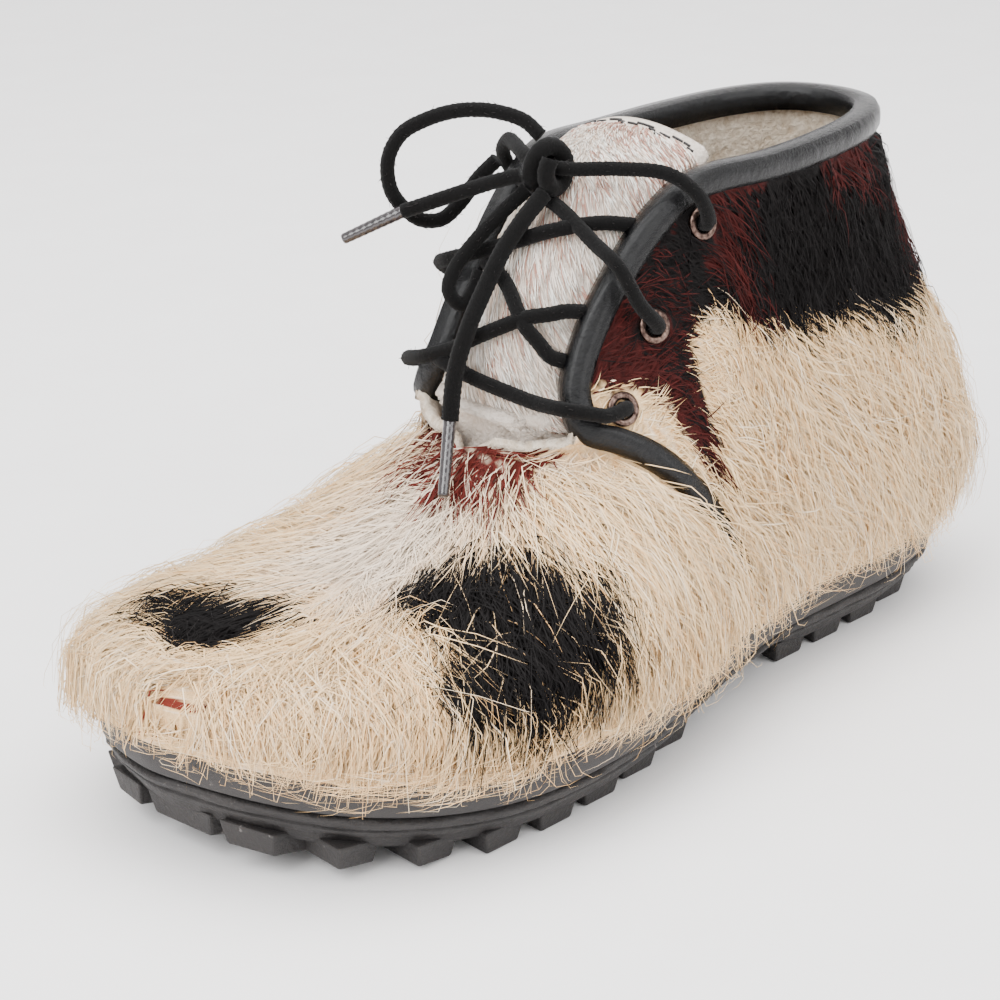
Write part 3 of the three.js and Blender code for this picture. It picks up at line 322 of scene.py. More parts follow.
def sweep(line, profile, up=(0, 0, 1)):
    """Closed tube along a line. Rings stand square to the line, carried along with the least
    turn; profile holds each ring's (across, up) offsets. Ends are closed by fans."""
    line = np.asarray(line, float)
    ahead = np.gradient(line, axis=0)
    ahead /= np.linalg.norm(ahead, axis=1)[:, None]
    side = np.cross(np.asarray(up, float), ahead[0])
    if np.linalg.norm(side) < 1e-3:
        side = np.cross([1, 0, 0], ahead[0])
    sides = np.empty_like(line)
    for k, direction in enumerate(ahead):
        side = side - direction * (side @ direction)
        side = side / np.linalg.norm(side)
        sides[k] = side
    tops = np.cross(ahead, sides)
    rings = (line[:, None] + sides[:, None] * profile[..., :1] + tops[:, None] * profile[..., 1:])
    count = rings.shape[1]
    points = np.vstack([rings.reshape(-1, 3), line[:1], line[-1:]])
    quads = grid_faces(len(line), count, around=True)
    k = np.arange(count)
    last = (len(line) - 1) * count
    start, end = len(points) - 2, len(points) - 1
    caps = np.vstack([np.stack([(k + 1) % count, k, np.full(count, start)], axis=1),
                      np.stack([last + k, last + (k + 1) % count, np.full(count, end)], axis=1)])
    return points, quads, caps


def joined(parts):
    """One set of points and faces from several (points, quads, triangles)."""
    points, quads, triangles, base = [], [], [], 0
    for p, q, t in parts:
        points.append(p)
        quads.append(q + base)
        triangles.append(t + base)
        base += len(p)
    return np.vstack(points), np.vstack(quads), np.vstack(triangles)


def smooth_noise(seed, *coordinates):
    """Soft noise from 0 to 1: a seeded sum of sines of several lengths and directions."""
    rng = np.random.default_rng(seed)
    total = np.zeros(np.broadcast(*coordinates).shape)
    for octave in range(4):
        for _ in range(4):
            waves = rng.normal(size=len(coordinates)) * 2 ** octave
            phase = rng.uniform(0, 2 * math.pi)
            total = total + np.sin(sum(w * c for w, c in zip(waves, coordinates)) + phase) / 2 ** octave
    return 0.5 + 0.5 * np.tanh(total * 0.45)


def linear(hexadecimal):
    """sRGB hex colour as the linear values that shaders take."""
    value = [int(hexadecimal[k:k + 2], 16) / 255 for k in (0, 2, 4)]
    return tuple(v / 12.92 if v <= 0.04045 else ((v + 0.055) / 1.055) ** 2.4 for v in value) + (1.0,)


def add_node(tree, kind, settings=None, inputs=None):
    """Adds one shader node, sets it up and links the inputs that are sockets."""
    node = tree.nodes.new("ShaderNode" + kind)
    for name, value in (settings or {}).items():
        setattr(node, name, value)
    for name, value in (inputs or {}).items():
        if isinstance(value, bpy.types.NodeSocket):
            tree.links.new(value, node.inputs[name])
        else:
            node.inputs[name].default_value = value
    return node


def new_material(name, **sockets):
    """Material with one Principled shader whose plain values are set on its own sockets."""
    material = bpy.data.materials.new(name)
    material.use_nodes = True
    tree = material.node_tree
    tree.nodes.clear()
    shader = add_node(tree, "BsdfPrincipled", inputs={k.replace("_", " "): v for k, v in sockets.items()})
    output = add_node(tree, "OutputMaterial", inputs={"Surface": shader.outputs["BSDF"]})
    output.is_active_output = True
    return material, tree, shader


def ramp(tree, factor, stops):
    """Colour ramp through (place, hex) stops."""
    node = add_node(tree, "ValToRGB", inputs={"Fac": factor})
    elements = node.color_ramp.elements
    while len(elements) < len(stops):
        elements.new(0.5)
    for element, (place, colour) in zip(elements, stops):
        element.position = place
        element.color = linear(colour)
    return node.outputs["Color"]


def bump(tree, shader, height, strength, distance):
    """Relief of height, where distance is in metres."""
    node = add_node(tree, "Bump", inputs={"Height": height, "Strength": strength, "Distance": distance})
    tree.links.new(node.outputs["Normal"], shader.inputs["Normal"])
    return node


def object_noise(tree, scale, detail=4.0, roughness=0.55):
    """Noise on Object coordinates; scale is per metre, so 1 / scale is the grain's size."""
    where = add_node(tree, "TexCoord")
    return add_node(tree, "TexNoise", inputs={
        "Vector": where.outputs["Object"], "Scale": scale, "Detail": detail, "Roughness": roughness})


# Goat hair: long, soft and slightly glossy, pigmented in patches. Each strand carries its
# own colour; the gloss is broad because many fine scales scatter it.
def hair_material():
    material, tree, shader = new_material("goat_hair_natural", Roughness=0.6, Specular_IOR_Level=0.12)
    colour = add_node(tree, "Attribute", {"attribute_name": "hair_colour"})
    tree.links.new(colour.outputs["Color"], shader.inputs["Base Color"])
    return material


# Tanned hide under the hair: matt skin that carries the pigment of its hair, with woolly
# down of about 1 mm that a bump gives.
def hide_material():
    material, tree, shader = new_material("tanned_hide_with_down", Roughness=0.9, Specular_IOR_Level=0.2)
    colour = add_node(tree, "Attribute", {"attribute_name": "hair_colour"})
    grain = object_noise(tree, 900.0, 6.0)
    shade = add_node(tree, "MixRGB", {"blend_type": "MULTIPLY"}, {
        "Fac": 0.55, "Color1": colour.outputs["Color"],
        "Color2": ramp(tree, grain.outputs["Fac"], [(0.3, "cfc6bb"), (0.65, "ffffff")])})
    tree.links.new(shade.outputs["Color"], shader.inputs["Base Color"])
    bump(tree, shader, grain.outputs["Fac"], 0.8, 0.0012)
    return material


# Cream wool pile lining: short curled loops of about 2 mm, no gloss.
def pile_material(name, dark, pale):
    material, tree, shader = new_material(name, Roughness=1.0, Specular_IOR_Level=0.1, Sheen_Weight=0.25,
                                          Sheen_Roughness=0.6)
    curls = object_noise(tree, 420.0, 5.0, 0.65)
    colour = ramp(tree, curls.outputs["Fac"], [(0.32, dark), (0.68, pale)])
    tree.links.new(colour, shader.inputs["Base Color"])
    bump(tree, shader, curls.outputs["Fac"], 1.0, 0.002)
    return material


# Vulcanised rubber, moulded: dark warm grey, matt, with dust in its pores and pale scuffs.
def rubber_material(name, low, high, grain_scale, relief):
    material, tree, shader = new_material(name, Roughness=0.62, Specular_IOR_Level=0.4)
    cloud = object_noise(tree, 38.0, 6.0, 0.6)
    base = ramp(tree, cloud.outputs["Fac"], [(0.3, low), (0.7, high)])
    scuffs = object_noise(tree, 210.0, 8.0, 0.72)
    mask = add_node(tree, "MapRange", inputs={
        "Value": scuffs.outputs["Fac"], "From Min": 0.64, "From Max": 0.74})
    worn = add_node(tree, "MixRGB", inputs={"Fac": mask.outputs["Result"], "Color1": base,
                                            "Color2": linear("85807c")})
    tree.links.new(worn.outputs["Color"], shader.inputs["Base Color"])
    grain = object_noise(tree, grain_scale, 8.0, 0.6)
    rough = add_node(tree, "MapRange", inputs={"Value": cloud.outputs["Fac"], "To Min": 0.5, "To Max": 0.78})
    tree.links.new(rough.outputs["Result"], shader.inputs["Roughness"])
    bump(tree, shader, grain.outputs["Fac"], relief, 0.0008)
    return material


# Patent vinyl binding, folded over the edge: black, wet gloss, with creases and pale grey cracks; the pale
# grey is partly real cracking and partly a painted highlight of the gloss.
def vinyl_material():
    material, tree, shader = new_material("patent_vinyl_folded", Roughness=0.22, Specular_IOR_Level=0.22,
                                          Coat_Weight=0.12, Coat_Roughness=0.1)
    # The noise's high end paints pale grey: partly real cracks, partly a painted highlight.
    worn = object_noise(tree, 260.0, 7.0, 0.7)
    colour = ramp(tree, worn.outputs["Fac"], [(0.5, "020203"), (0.68, "08080b"), (0.8, "3c3e46")])
    tree.links.new(colour, shader.inputs["Base Color"])
    creases = object_noise(tree, 520.0, 5.0, 0.7)
    bump(tree, shader, creases.outputs["Fac"], 0.55, 0.0012)
    return material


# Cotton braid lace: black, matt and fuzzy, plaited from strands about 0.8 mm wide.
def lace_material():
    material, tree, shader = new_material("cotton_braid_black", Roughness=0.95, Specular_IOR_Level=0.1,
                                          Sheen_Weight=0.05, Sheen_Roughness=0.5)
    fibres = object_noise(tree, 2200.0, 6.0, 0.7)
    colour = ramp(tree, fibres.outputs["Fac"], [(0.3, "030303"), (0.7, "100f0f")])
    tree.links.new(colour, shader.inputs["Base Color"])
    bump(tree, shader, fibres.outputs["Fac"], 0.7, 0.0005)
    return material


# Antiqued brass eyelet: rolled and darkened, rubbed pale on its rim.
def antique_material():
    material, tree, shader = new_material("antiqued_brass_rolled", Metallic=1.0, Roughness=0.36)
    tarnish = object_noise(tree, 900.0, 5.0)
    colour = ramp(tree, tarnish.outputs["Fac"], [(0.35, "2f2320"), (0.7, "806a60")])
    tree.links.new(colour, shader.inputs["Base Color"])
    bump(tree, shader, tarnish.outputs["Fac"], 0.3, 0.0003)
    return material


# Acetate lace tip: thin film shrunk round the lace, dark with a glassy surface.
def acetate_material():
    material, tree, shader = new_material("acetate_film_dark", Roughness=0.16, Coat_Weight=0.6,
                                          Coat_Roughness=0.08)
    cloud = object_noise(tree, 600.0, 3.0)
    colour = ramp(tree, cloud.outputs["Fac"], [(0.3, "141214"), (0.75, "3a3436")])
    tree.links.new(colour, shader.inputs["Base Color"])
    bump(tree, shader, cloud.outputs["Fac"], 0.25, 0.0004)
    return material


# Waxed thread: black, thick, slightly glossy.
def thread_material():
    material, tree, shader = new_material("waxed_thread_black", Roughness=0.5)
    twist = object_noise(tree, 1800.0, 3.0)
    colour = ramp(tree, twist.outputs["Fac"], [(0.3, "0b0a0b"), (0.7, "201e20")])
    tree.links.new(colour, shader.inputs["Base Color"])
    return material


HAIR = hair_material()
HIDE = hide_material()
LINING = pile_material("wool_pile_lining", "b9a48b", "efe2cf")
INSOLE_PILE = pile_material("wool_pile_insole", "b3a089", "e4d6c0")
WALL_RUBBER = rubber_material("vulcanised_rubber_wall", "2a2828", "383534", 2400.0, 0.35)
TREAD_RUBBER = rubber_material("vulcanised_rubber_tread", "1f1d1d", "302d2c", 700.0, 0.9)
VINYL = vinyl_material()
LACE = lace_material()
BRASS = antique_material()
ACETATE = acetate_material()
THREAD = thread_material()


# Where each colour of hair grows.
# Edges of the dark patches as (section, level) corners on one side of the boot, charted
# at the boot's own sections.
DARK_QUARTER_LEFT = [(-0.5, 1.1), (-0.5, 0.62), (0.6, 0.57), (1.2, 0.55), (2.3, 0.52), (2.8, 0.56),
                     (3.4, 0.58), (4.5, 0.62), (6.4, 0.67), (7.3, 0.72), (7.8, 0.70), (8.1, 0.65),
                     (8.4, 0.57), (9.2, 0.50), (9.8, 0.50), (9.7, 0.63), (9.3, 0.71), (9.6, 0.82),
                     (9.9, 0.93), (10.0, 1.1)]
DARK_VAMP_LEFT = [(15.6, 0.87), (14.9, 0.86), (14.3, 0.82), (14.0, 0.72), (13.7, 0.65), (13.5, 0.57),
                  (13.4, 0.51), (13.6, 0.43), (13.9, 0.36), (14.5, 0.28), (15.0, 0.25), (15.4, 0.24),
                  (15.8, 0.26), (16.1, 0.30), (16.2, 0.39), (16.1, 0.50), (15.9, 0.57), (15.7, 0.68),
                  (15.7, 0.78)]
DARK_TOE_LEFT = [(16.9, 1.1), (17.0, 0.95), (17.6, 0.92), (18.1, 0.87), (18.5, 0.77), (18.8, 0.84),
                 (19.3, 1.1)]
DARK_TOE_RIGHT = [(16.8, 1.1), (16.7, 0.80), (16.7, 0.73), (17.0, 0.68), (17.6, 0.65), (18.2, 0.72),
                  (18.8, 0.80), (19.3, 0.9), (19.3, 1.1)]
RED_THROAT_LEFT = [(14.2, 1.1), (14.1, 0.96), (13.8, 0.90), (13.4, 0.82), (13.1, 0.80), (12.5, 0.86),
                   (11.9, 0.93), (11.9, 1.1)]
RED_THROAT_RIGHT = [(14.2, 1.1), (13.8, 0.92), (13.3, 0.84), (12.6, 0.85), (11.9, 0.93), (11.9, 1.1)]
DARK_QUARTER_RIGHT = [(-0.5, 1.1), (-0.5, 0.62), (0.8, 0.55), (1.9, 0.60), (2.8, 0.72), (3.6, 0.80),
                      (5.0, 0.84), (6.2, 1.1)]
DARK_SIDE_RIGHT = [(12.0, 0.44), (13.2, 0.48), (14.4, 0.44), (15.0, 0.36), (14.6, 0.27), (13.6, 0.23),
                   (12.2, 0.27), (11.6, 0.36)]
WORN_SPOT = (18.62, 0.36)  # bare scab at the toe, on the left


def inside(corners, place, level):
    """True where a point lies in a polygon: an odd number of its sides crosses a ray."""
    corners = np.array(corners)
    found = np.zeros(place.shape, bool)
    for (x0, y0), (x1, y1) in zip(corners, np.roll(corners, -1, axis=0)):
        if y0 == y1:
            continue
        spans = (level >= min(y0, y1)) & (level < max(y0, y1))
        found ^= spans & (place < x0 + (level - y0) * (x1 - x0) / (y1 - y0))
    return found


def hair_colour(side, place, level, ragged, rng):
    """Linear colour of hair by where it lies. Patch edges are ragged by soft noise and by each
    hair's own scatter, and every patch is a mixture of a few natural tones."""
    count = place.shape
    sway_p = 0.30 * (smooth_noise(5, place * 2.2, level * 22) - 0.5)
    sway_v = 0.05 * (smooth_noise(6, place * 2.6, level * 18) - 0.5)
    p = place + ragged * (rng.normal(0, 0.10, count) + sway_p)
    v = level + ragged * (rng.normal(0, 0.014, count) + sway_v)
    left = side > 0
    mix = smooth_noise(7, p * 0.9, v * 6, side)[..., None]
    fleck = rng.random(count)[..., None]
    tones = [np.array(linear(h)[:3]) for h in ("efc690", "f5d4a6", "e8bb85", "f9dfbe")]
    colour = tones[0] * (1 - mix) + tones[1] * mix
    colour = np.where(fleck < 0.22, tones[2], colour)
    colour = np.where(fleck > 0.86, tones[3], colour)
    along_vamp = smoothstep(11.4, 12.4, p) * (1 - smoothstep(15.5, 17.0, p))
    near_throat = (along_vamp * smoothstep(0.72, 0.95, v))[..., None]
    colour = colour * (1 - 0.7 * near_throat) + np.array(linear("f3e3d2")[:3]) * 0.7 * near_throat
    dark_left, dark_right = (
        np.logical_or.reduce([inside(patch, p, v) for patch in patches])
        for patches in ((DARK_QUARTER_LEFT, DARK_VAMP_LEFT, DARK_TOE_LEFT),
                        (DARK_QUARTER_RIGHT, DARK_TOE_RIGHT, DARK_SIDE_RIGHT)))
    dark = np.where(left, dark_left, dark_right)
    black = np.array(linear("0e0b0b")[:3]) * (0.7 + 0.6 * rng.random(count)[..., None])
    brown = np.array(linear("3d1412")[:3]) * (0.6 + 0.8 * rng.random(count)[..., None])
    redness = np.where(left, smoothstep(6.2, 9.0, p) * (0.55 + 0.45 * smooth_noise(9, p * 3, v * 9))
                       + 0.85 * smoothstep(0.55, 0.8, smooth_noise(8, p * 1.6, v * 5)) * (p < 6.5)
                       * smoothstep(0.6, 0.7, v), 0.35)
    pale = dark & left & (p > 12) & (p < 16.6) & (rng.random(count) < 0.035)
    red = (rng.random(count) < redness * np.where(p < 12, 1.0, 0.0))[..., None]
    colour = np.where((dark & ~pale)[..., None], np.where(red, brown, black), colour)
    throat = np.where(left, inside(RED_THROAT_LEFT, p, v), inside(RED_THROAT_RIGHT, p, v))
    rust = np.array(linear("5a211c")[:3]) * (0.5 + 1.0 * rng.random(count)[..., None])
    colour = np.where(throat[..., None] & (rng.random(count) < 0.78)[..., None], rust, colour)
    spot = np.hypot((place - WORN_SPOT[0]) / 0.26, (level - WORN_SPOT[1]) / 0.065)
    colour = np.where((left & (spot < 1.0))[..., None], np.array(linear("6e2a20")[:3]), colour)
    return colour


def comb(side, place, level):
    """Angle of the hair from straight down towards the toe, in radians."""
    quarter = -0.75 * smoothstep(3.0, 8.0, place) * smoothstep(0.45, 0.8, level) - 0.22
    quarter = quarter * smoothstep(0.0, 1.5, place)
    ridge = smoothstep(0.6, 1.0, level)
    vamp = 0.30 + 0.75 * ridge
    toe = smoothstep(17.2, 18.8, place)
    vamp = vamp * (1 - toe) + toe * np.where(side > 0, -0.10, 0.35)
    behind = (1 - smoothstep(11.5, 13.8, place)) * (1 - ridge)
    vamp = vamp * (1 - behind) + behind * 0.05
    return np.where(place < QUARTER_FRONT, quarter, vamp)


def hair_length(side, place, level):
    """Length of the hair in millimetres: short by the facings and the collar, long below."""
    quarter = 17 + 12 * (1 - smoothstep(0.35, 0.75, level))
    facing = smoothstep(4.6, 7.4, place) * smoothstep(0.45, 0.72, level)
    quarter = quarter * (1 - facing) + np.where(side > 0, 9.5, 19.0) * facing
    vamp = 27 - 7 * smoothstep(16.5, 18.6, place) - 5 * smoothstep(0.75, 1.0, level)
    return np.where(place < QUARTER_FRONT, quarter, vamp)


def hair_loft(side, place, level):
    """How far the coat stands off the hide, in millimetres."""
    quarter = 3.2 + 5.6 * (1 - smoothstep(0.42, 0.72, level))
    facing = smoothstep(4.6, 7.4, place) * smoothstep(0.42, 0.66, level)
    quarter = quarter * (1 - facing) + np.where(side > 0, 1.6, 8.5) * facing
    vamp = 7.6 - 3.4 * smoothstep(0.72, 1.0, level) + 0.8 * smoothstep(17, 19, place)
    return np.where(place < QUARTER_FRONT, quarter, vamp)


# The coat of hair.
COAT_SOFTNESS = 0.86  # share of the coat's own facing in the strands' shading normals


def hem_level(side, place):
    """Level under the brim where the coat ends over the rubber wall: a ragged fringe, shorter
    at the toe."""
    fringe = 5.6 + 5.0 * (smooth_noise(61, place * 2.4, side * 3.0) - 0.5) + 4.5 * (
        smooth_noise(62, place * 9.0, side * 2.0) - 0.5)
    toe = smoothstep(17.6, 18.6, place) * (side > 0)
    return BRIM_LEVEL - fringe * (1 - 0.35 * toe) / HANG_SCALE


def scatter_roots(count, rng, low=0.165, high=1.0, first=0.0, last=LAST_SECTION):
    """Seeded roots spread evenly over both sides: candidates are kept in proportion to the
    area that one step of section and level covers there."""
    tries = count * 8
    side = np.where(rng.random(tries) < 0.5, LEFT, RIGHT)
    place = rng.uniform(first, last, tries)
    level = rng.uniform(low, high, tries)
    _, along, up, _ = skin_frame(side, place, level)
    area = np.linalg.norm(np.cross(along, up), axis=1)
    keep = rng.random(tries) * np.percentile(area, 99) < area
    rise = np.where(place < QUARTER_FRONT, 1 - 5.0 / np.maximum(np.linalg.norm(up, axis=1), 1), 1.1)
    keep &= level < rise
    keep &= ~((np.abs(place - QUARTER_FRONT) < 0.16) & (level > 0.2))
    index = np.flatnonzero(keep)[:count]
    return side[index], place[index], level[index]


def grow(side, place, level, length, hem, loft, steps, rng, clump_size, clumping, wander):
    """Strand lines. Each strand marches down the combed direction over the hide, lifts off
    quickly to its loft, and drifts towards the middle of its clump as it grows."""
    cells = np.stack([np.floor(place * 16 / clump_size), np.floor(level * 150 / clump_size), side], axis=1)
    _, owner = np.unique(cells, axis=0, return_inverse=True)
    owner = owner.ravel()
    total = owner.max() + 1
    weight = np.bincount(owner, minlength=total)
    jitter = rng.normal(0, 0.22, (total, 2))
    centre_p = np.bincount(owner, place, total) / weight + jitter[:, 0] * clump_size / 16
    centre_v = np.bincount(owner, level, total) / weight + jitter[:, 1] * clump_size / 150
    turn = comb(side, place, level) + rng.normal(0, 0.20, total)[owner] + rng.normal(0, wander, len(place))
    turn = turn + 0.7 * (smooth_noise(21, place * 1.1, level * 7, side) - 0.5)
    curl = rng.normal(0, 0.35, total)[owner] + rng.normal(0, 0.25, len(place))
    lock_stretch = np.clip(rng.normal(1, 0.13, total), 0.6, 1.4)[owner]
    stretch = length * lock_stretch * rng.uniform(0.75, 1.15, len(place))
    height = loft * np.clip(rng.normal(1, 0.22, total), 0.4, 1.7)[owner] * rng.uniform(0.45, 1.15, len(place))
    away = np.stack([place - centre_p[owner], level - centre_v[owner]], axis=1)
    p, v = place.copy(), level.copy()
    path, where, facing = [], [], []
    for k in range(steps + 1):
        t = k / steps
        pull = clumping * t ** 1.4
        q = np.clip(p - away[:, 0] * pull, 0, LAST_SECTION)
        w = np.minimum(v - away[:, 1] * pull, 1.0)
        point, along, up, normal = skin_frame(side, q, w)
        stand = height * (1 - np.exp(-4.0 * t)) * (1.0 - 0.35 * t)
        base = quarter_step(q, w) - 0.6 * (1 - min(t * 4, 1))
        path.append(point + normal * (base + stand)[:, None])
        where.append(np.stack([q, w], axis=1))
        facing.append(normal)
        angle = turn + curl * t
        size = stretch / steps
        climb = np.maximum(np.linalg.norm(up, axis=1), 20.0)
        run = np.maximum(np.linalg.norm(along, axis=1), 2.5)
        v = v - np.cos(angle) * size / climb
        v = np.where(v < hem, hem + (v - hem) * 0.12, v)
        p = p + np.sin(angle) * size / run
    return np.stack(path, axis=1), np.stack(where, axis=1), np.stack(facing, axis=1)


def clear_of_eyelets(path, reach):
    """True for strands that don't cross an eyelet."""
    clear = np.ones(len(path), bool)
    for side in (LEFT, RIGHT):
        for number in range(len(EYELETS)):
            middle, _ = eyelet_seat(side, number)
            clear &= np.linalg.norm(path - middle, axis=2).min(axis=1) > reach
    return clear


def strand_mesh(name, path, width, root_colour, tip_colour, coat=None):
    """Closed three-sided tapered strands: K rings of three points and a tip, with a colour
    that blends from root to tip. coat gives the way the whole coat faces at each ring; the
    shading normals lean to it, as light scatters from hair to hair."""
    count, rings = path.shape[0], path.shape[1] - 1
    ahead = np.gradient(path, axis=1)
    ahead /= np.maximum(np.linalg.norm(ahead, axis=2), 1e-6)[..., None]
    helper = np.where(np.abs(ahead[..., 2:]) > 0.9, [1.0, 0, 0], [0, 0, 1.0])
    across = np.cross(ahead, helper)
    across /= np.linalg.norm(across, axis=2)[..., None]
    over = np.cross(ahead, across)
    share = np.arange(rings) / rings
    radius = width[:, None] / 2 * (1 - share[None, :] ** 2.2 * 0.75)
    angles = 2 * math.pi * np.arange(3) / 3
    ring = (path[:, :rings, None] + radius[..., None, None] * (
        np.cos(angles)[None, None, :, None] * across[:, :rings, None]
        + np.sin(angles)[None, None, :, None] * over[:, :rings, None]))
    points = np.concatenate([ring.reshape(count, rings * 3, 3), path[:, -1:]], axis=1)
    each = rings * 3 + 1
    base = (np.arange(count) * each)[:, None, None]
    k = np.arange(3)
    level = (np.arange(rings - 1) * 3)[:, None]
    following = (k + 1) % 3
    quads = np.stack([level + k, level + following, level + 3 + following, level + 3 + k], axis=-1)
    quads = quads.reshape(-1, 4)
    last = (rings - 1) * 3
    ends = np.array([[last + j, last + (j + 1) % 3, each - 1] for j in range(3)] + [[2, 1, 0]])
    quads = (quads[None] + base).reshape(-1, 4)
    ends = (ends[None] + base).reshape(-1, 3)
    mesh = mesh_from(name, points.reshape(-1, 3), [quads, ends])
    blend = np.concatenate([np.repeat(share, 3), [1.0]])[None, :, None]
    colour = root_colour[:, None] * (1 - blend) + tip_colour[:, None] * blend
    rgba = np.concatenate([colour, np.ones(colour.shape[:2] + (1,))], axis=2).astype(np.float32)
    mesh.color_attributes.new("hair_colour", "FLOAT_COLOR", "POINT").data.foreach_set("color", rgba.ravel())
    if coat is not None:
        own = ring - path[:, :rings, None]
        own /= np.linalg.norm(own, axis=3)[..., None]
        soft = own * (1 - COAT_SOFTNESS) + coat[:, :rings, None] * COAT_SOFTNESS
        soft = np.concatenate([soft.reshape(count, rings * 3, 3), coat[:, -1:]], axis=1).reshape(-1, 3)
        soft /= np.linalg.norm(soft, axis=1)[:, None]
        mesh.polygons.foreach_set("use_smooth", np.full(len(mesh.polygons), True))
        mesh.normals_split_custom_set_from_vertices(soft.tolist())
    return mesh


def make_coat():
    """The coat: dense tapered locks for its body and fine long guard hairs over them."""
    rng = np.random.default_rng(SEED)
    pieces = []
    layers = [
        # name, strands, steps, width, length share, loft share, clump, clumping, wander
        ("fur_underlayer", 15500, 2, 0.70, 0.60, 0.50, 5.0, 0.50, 0.25),
        ("fur_body_1", 12200, 3, 0.38, 0.85, 0.85, 6.0, 0.62, 0.26),
        ("fur_body_2", 12200, 3, 0.33, 0.95, 1.05, 9.0, 0.70, 0.26),
        ("fur_guard_hairs", 8900, 4, 0.15, 1.2, 1.3, 10.0, 0.45, 0.42),
    ]
    for name, count, steps, width, far, high, clump, clumping, wander in layers:
        side, place, level = scatter_roots(count, rng)
        length = hair_length(side, place, level) * far
        drop = rng.uniform(-2.0, 2.5, len(side)) + (3.0 if steps == 4 else 0.0)
        hem = hem_level(side, place) - drop / HANG_SCALE
        loft = hair_loft(side, place, level) * high * np.clip((level - hem) * 7, 0.3, 1)
        path, where, facing = grow(side, place, level, length, hem, loft, steps, rng, clump, clumping, wander)
        spot = np.hypot((where[..., 0] - WORN_SPOT[0]) / 0.20, (where[..., 1] - WORN_SPOT[1]) / 0.09)
        bare = (side > 0) & (spot.min(axis=1) < 1.0)
        seen = where[:, max(1, steps // 2)]
        colour = hair_colour(side, seen[:, 0], seen[:, 1], 1.0, rng)
        shade = rng.uniform(0.95, 1.05, len(side))[:, None]
        keep = clear_of_eyelets(path, 5.0) & ~bare & (path[:, :, 2].min(axis=1) > 2.0)
        path, colour, facing = path[keep], (colour * shade)[keep], facing[keep]
        thick = width * rng.uniform(0.7, 1.25, len(path))
        # Roots are painted a little darker as shade among the hairs; tips are a little lighter.
        mesh = strand_mesh(name, path, thick, colour * 0.96, np.minimum(colour * 1.06, 0.97), facing)
        pieces.append(finish_piece(name, mesh, [HAIR]))
    return pieces


def make_hide():
    """Hide: the skin surface on a fine grid, both sides welded at heel, toe and ridge, with
    a wall of hide turned into pile lining on its inner face."""
    places = np.unique(np.concatenate([np.linspace(0, 11, 84), np.linspace(11.02, 11.1, 4),
                                       np.linspace(11.2, LAST_SECTION, 66)]))
    levels = np.concatenate([np.linspace(0.12, 0.2, 3), np.linspace(0.22, 1.0, 36)])
    rng = np.random.default_rng(SEED + 1)
    parts, colours = [], []
    for side in (LEFT, RIGHT):
        p, v = np.meshgrid(places, levels, indexing="ij")
        point, _, _, normal = skin_frame(np.full(p.shape, side), p, v)
        point = point + normal * quarter_step(p, v)[..., None]
        quads = grid_faces(len(places), len(levels))
        parts.append((point.reshape(-1, 3), quads if side < 0 else quads[:, ::-1], np.zeros((0, 3), int)))
        colours.append(hair_colour(np.full(p.shape, side), p, v, 0.6, rng).reshape(-1, 3) * 0.97)
    points, quads, _ = joined(parts)
    mesh = mesh_from("upper_hide", points, [quads])
    colour = np.vstack(colours)
    rgba = np.concatenate([colour, np.ones((len(colour), 1))], axis=1).astype(np.float32)
    mesh.color_attributes.new("hair_colour", "FLOAT_COLOR", "POINT").data.foreach_set("color", rgba.ravel())
    face_outwards(mesh, merge=0.05)
    piece = finish_piece("upper_hide", mesh, [HIDE, LINING], replaced=["upper"])
    wall = piece.modifiers.new("wall", "SOLIDIFY")
    wall.thickness = HIDE_WALL * MM
    wall.offset = -1.0
    wall.use_even_offset = False
    wall.material_offset = 1
    wall.material_offset_rim = 1
    return piece


# Tongue, binding and eyelets.
# Levels of the tongue: section, crown, half width, shift back (LENGTH), shift up (COLLAR).
TONGUE = np.array([
    (14.2, 0.00, 0.80, 0.000, 0.000), (13.5, 0.00, 0.84, 0.000, 0.000), (12.7, 0.00, 0.88, 0.000, 0.000),
    (12.0, 0.02, 0.94, 0.000, 0.000), (11.3, 0.18, 1.00, 0.000, 0.000), (10.5, 0.52, 1.00, 0.000, 0.000),
    (9.7, 0.85, 1.00, 0.000, 0.000), (8.8, 1.00, 1.00, 0.000, 0.000), (7.9, 1.00, 1.00, 0.000, 0.000),
    (7.0, 0.90, 0.96, 0.000, 0.000), (6.3, 0.80, 0.90, 0.000, 0.000), (6.3, 0.74, 0.80, 0.032, 0.032),
    (6.3, 0.66, 0.62, 0.068, 0.046),
])


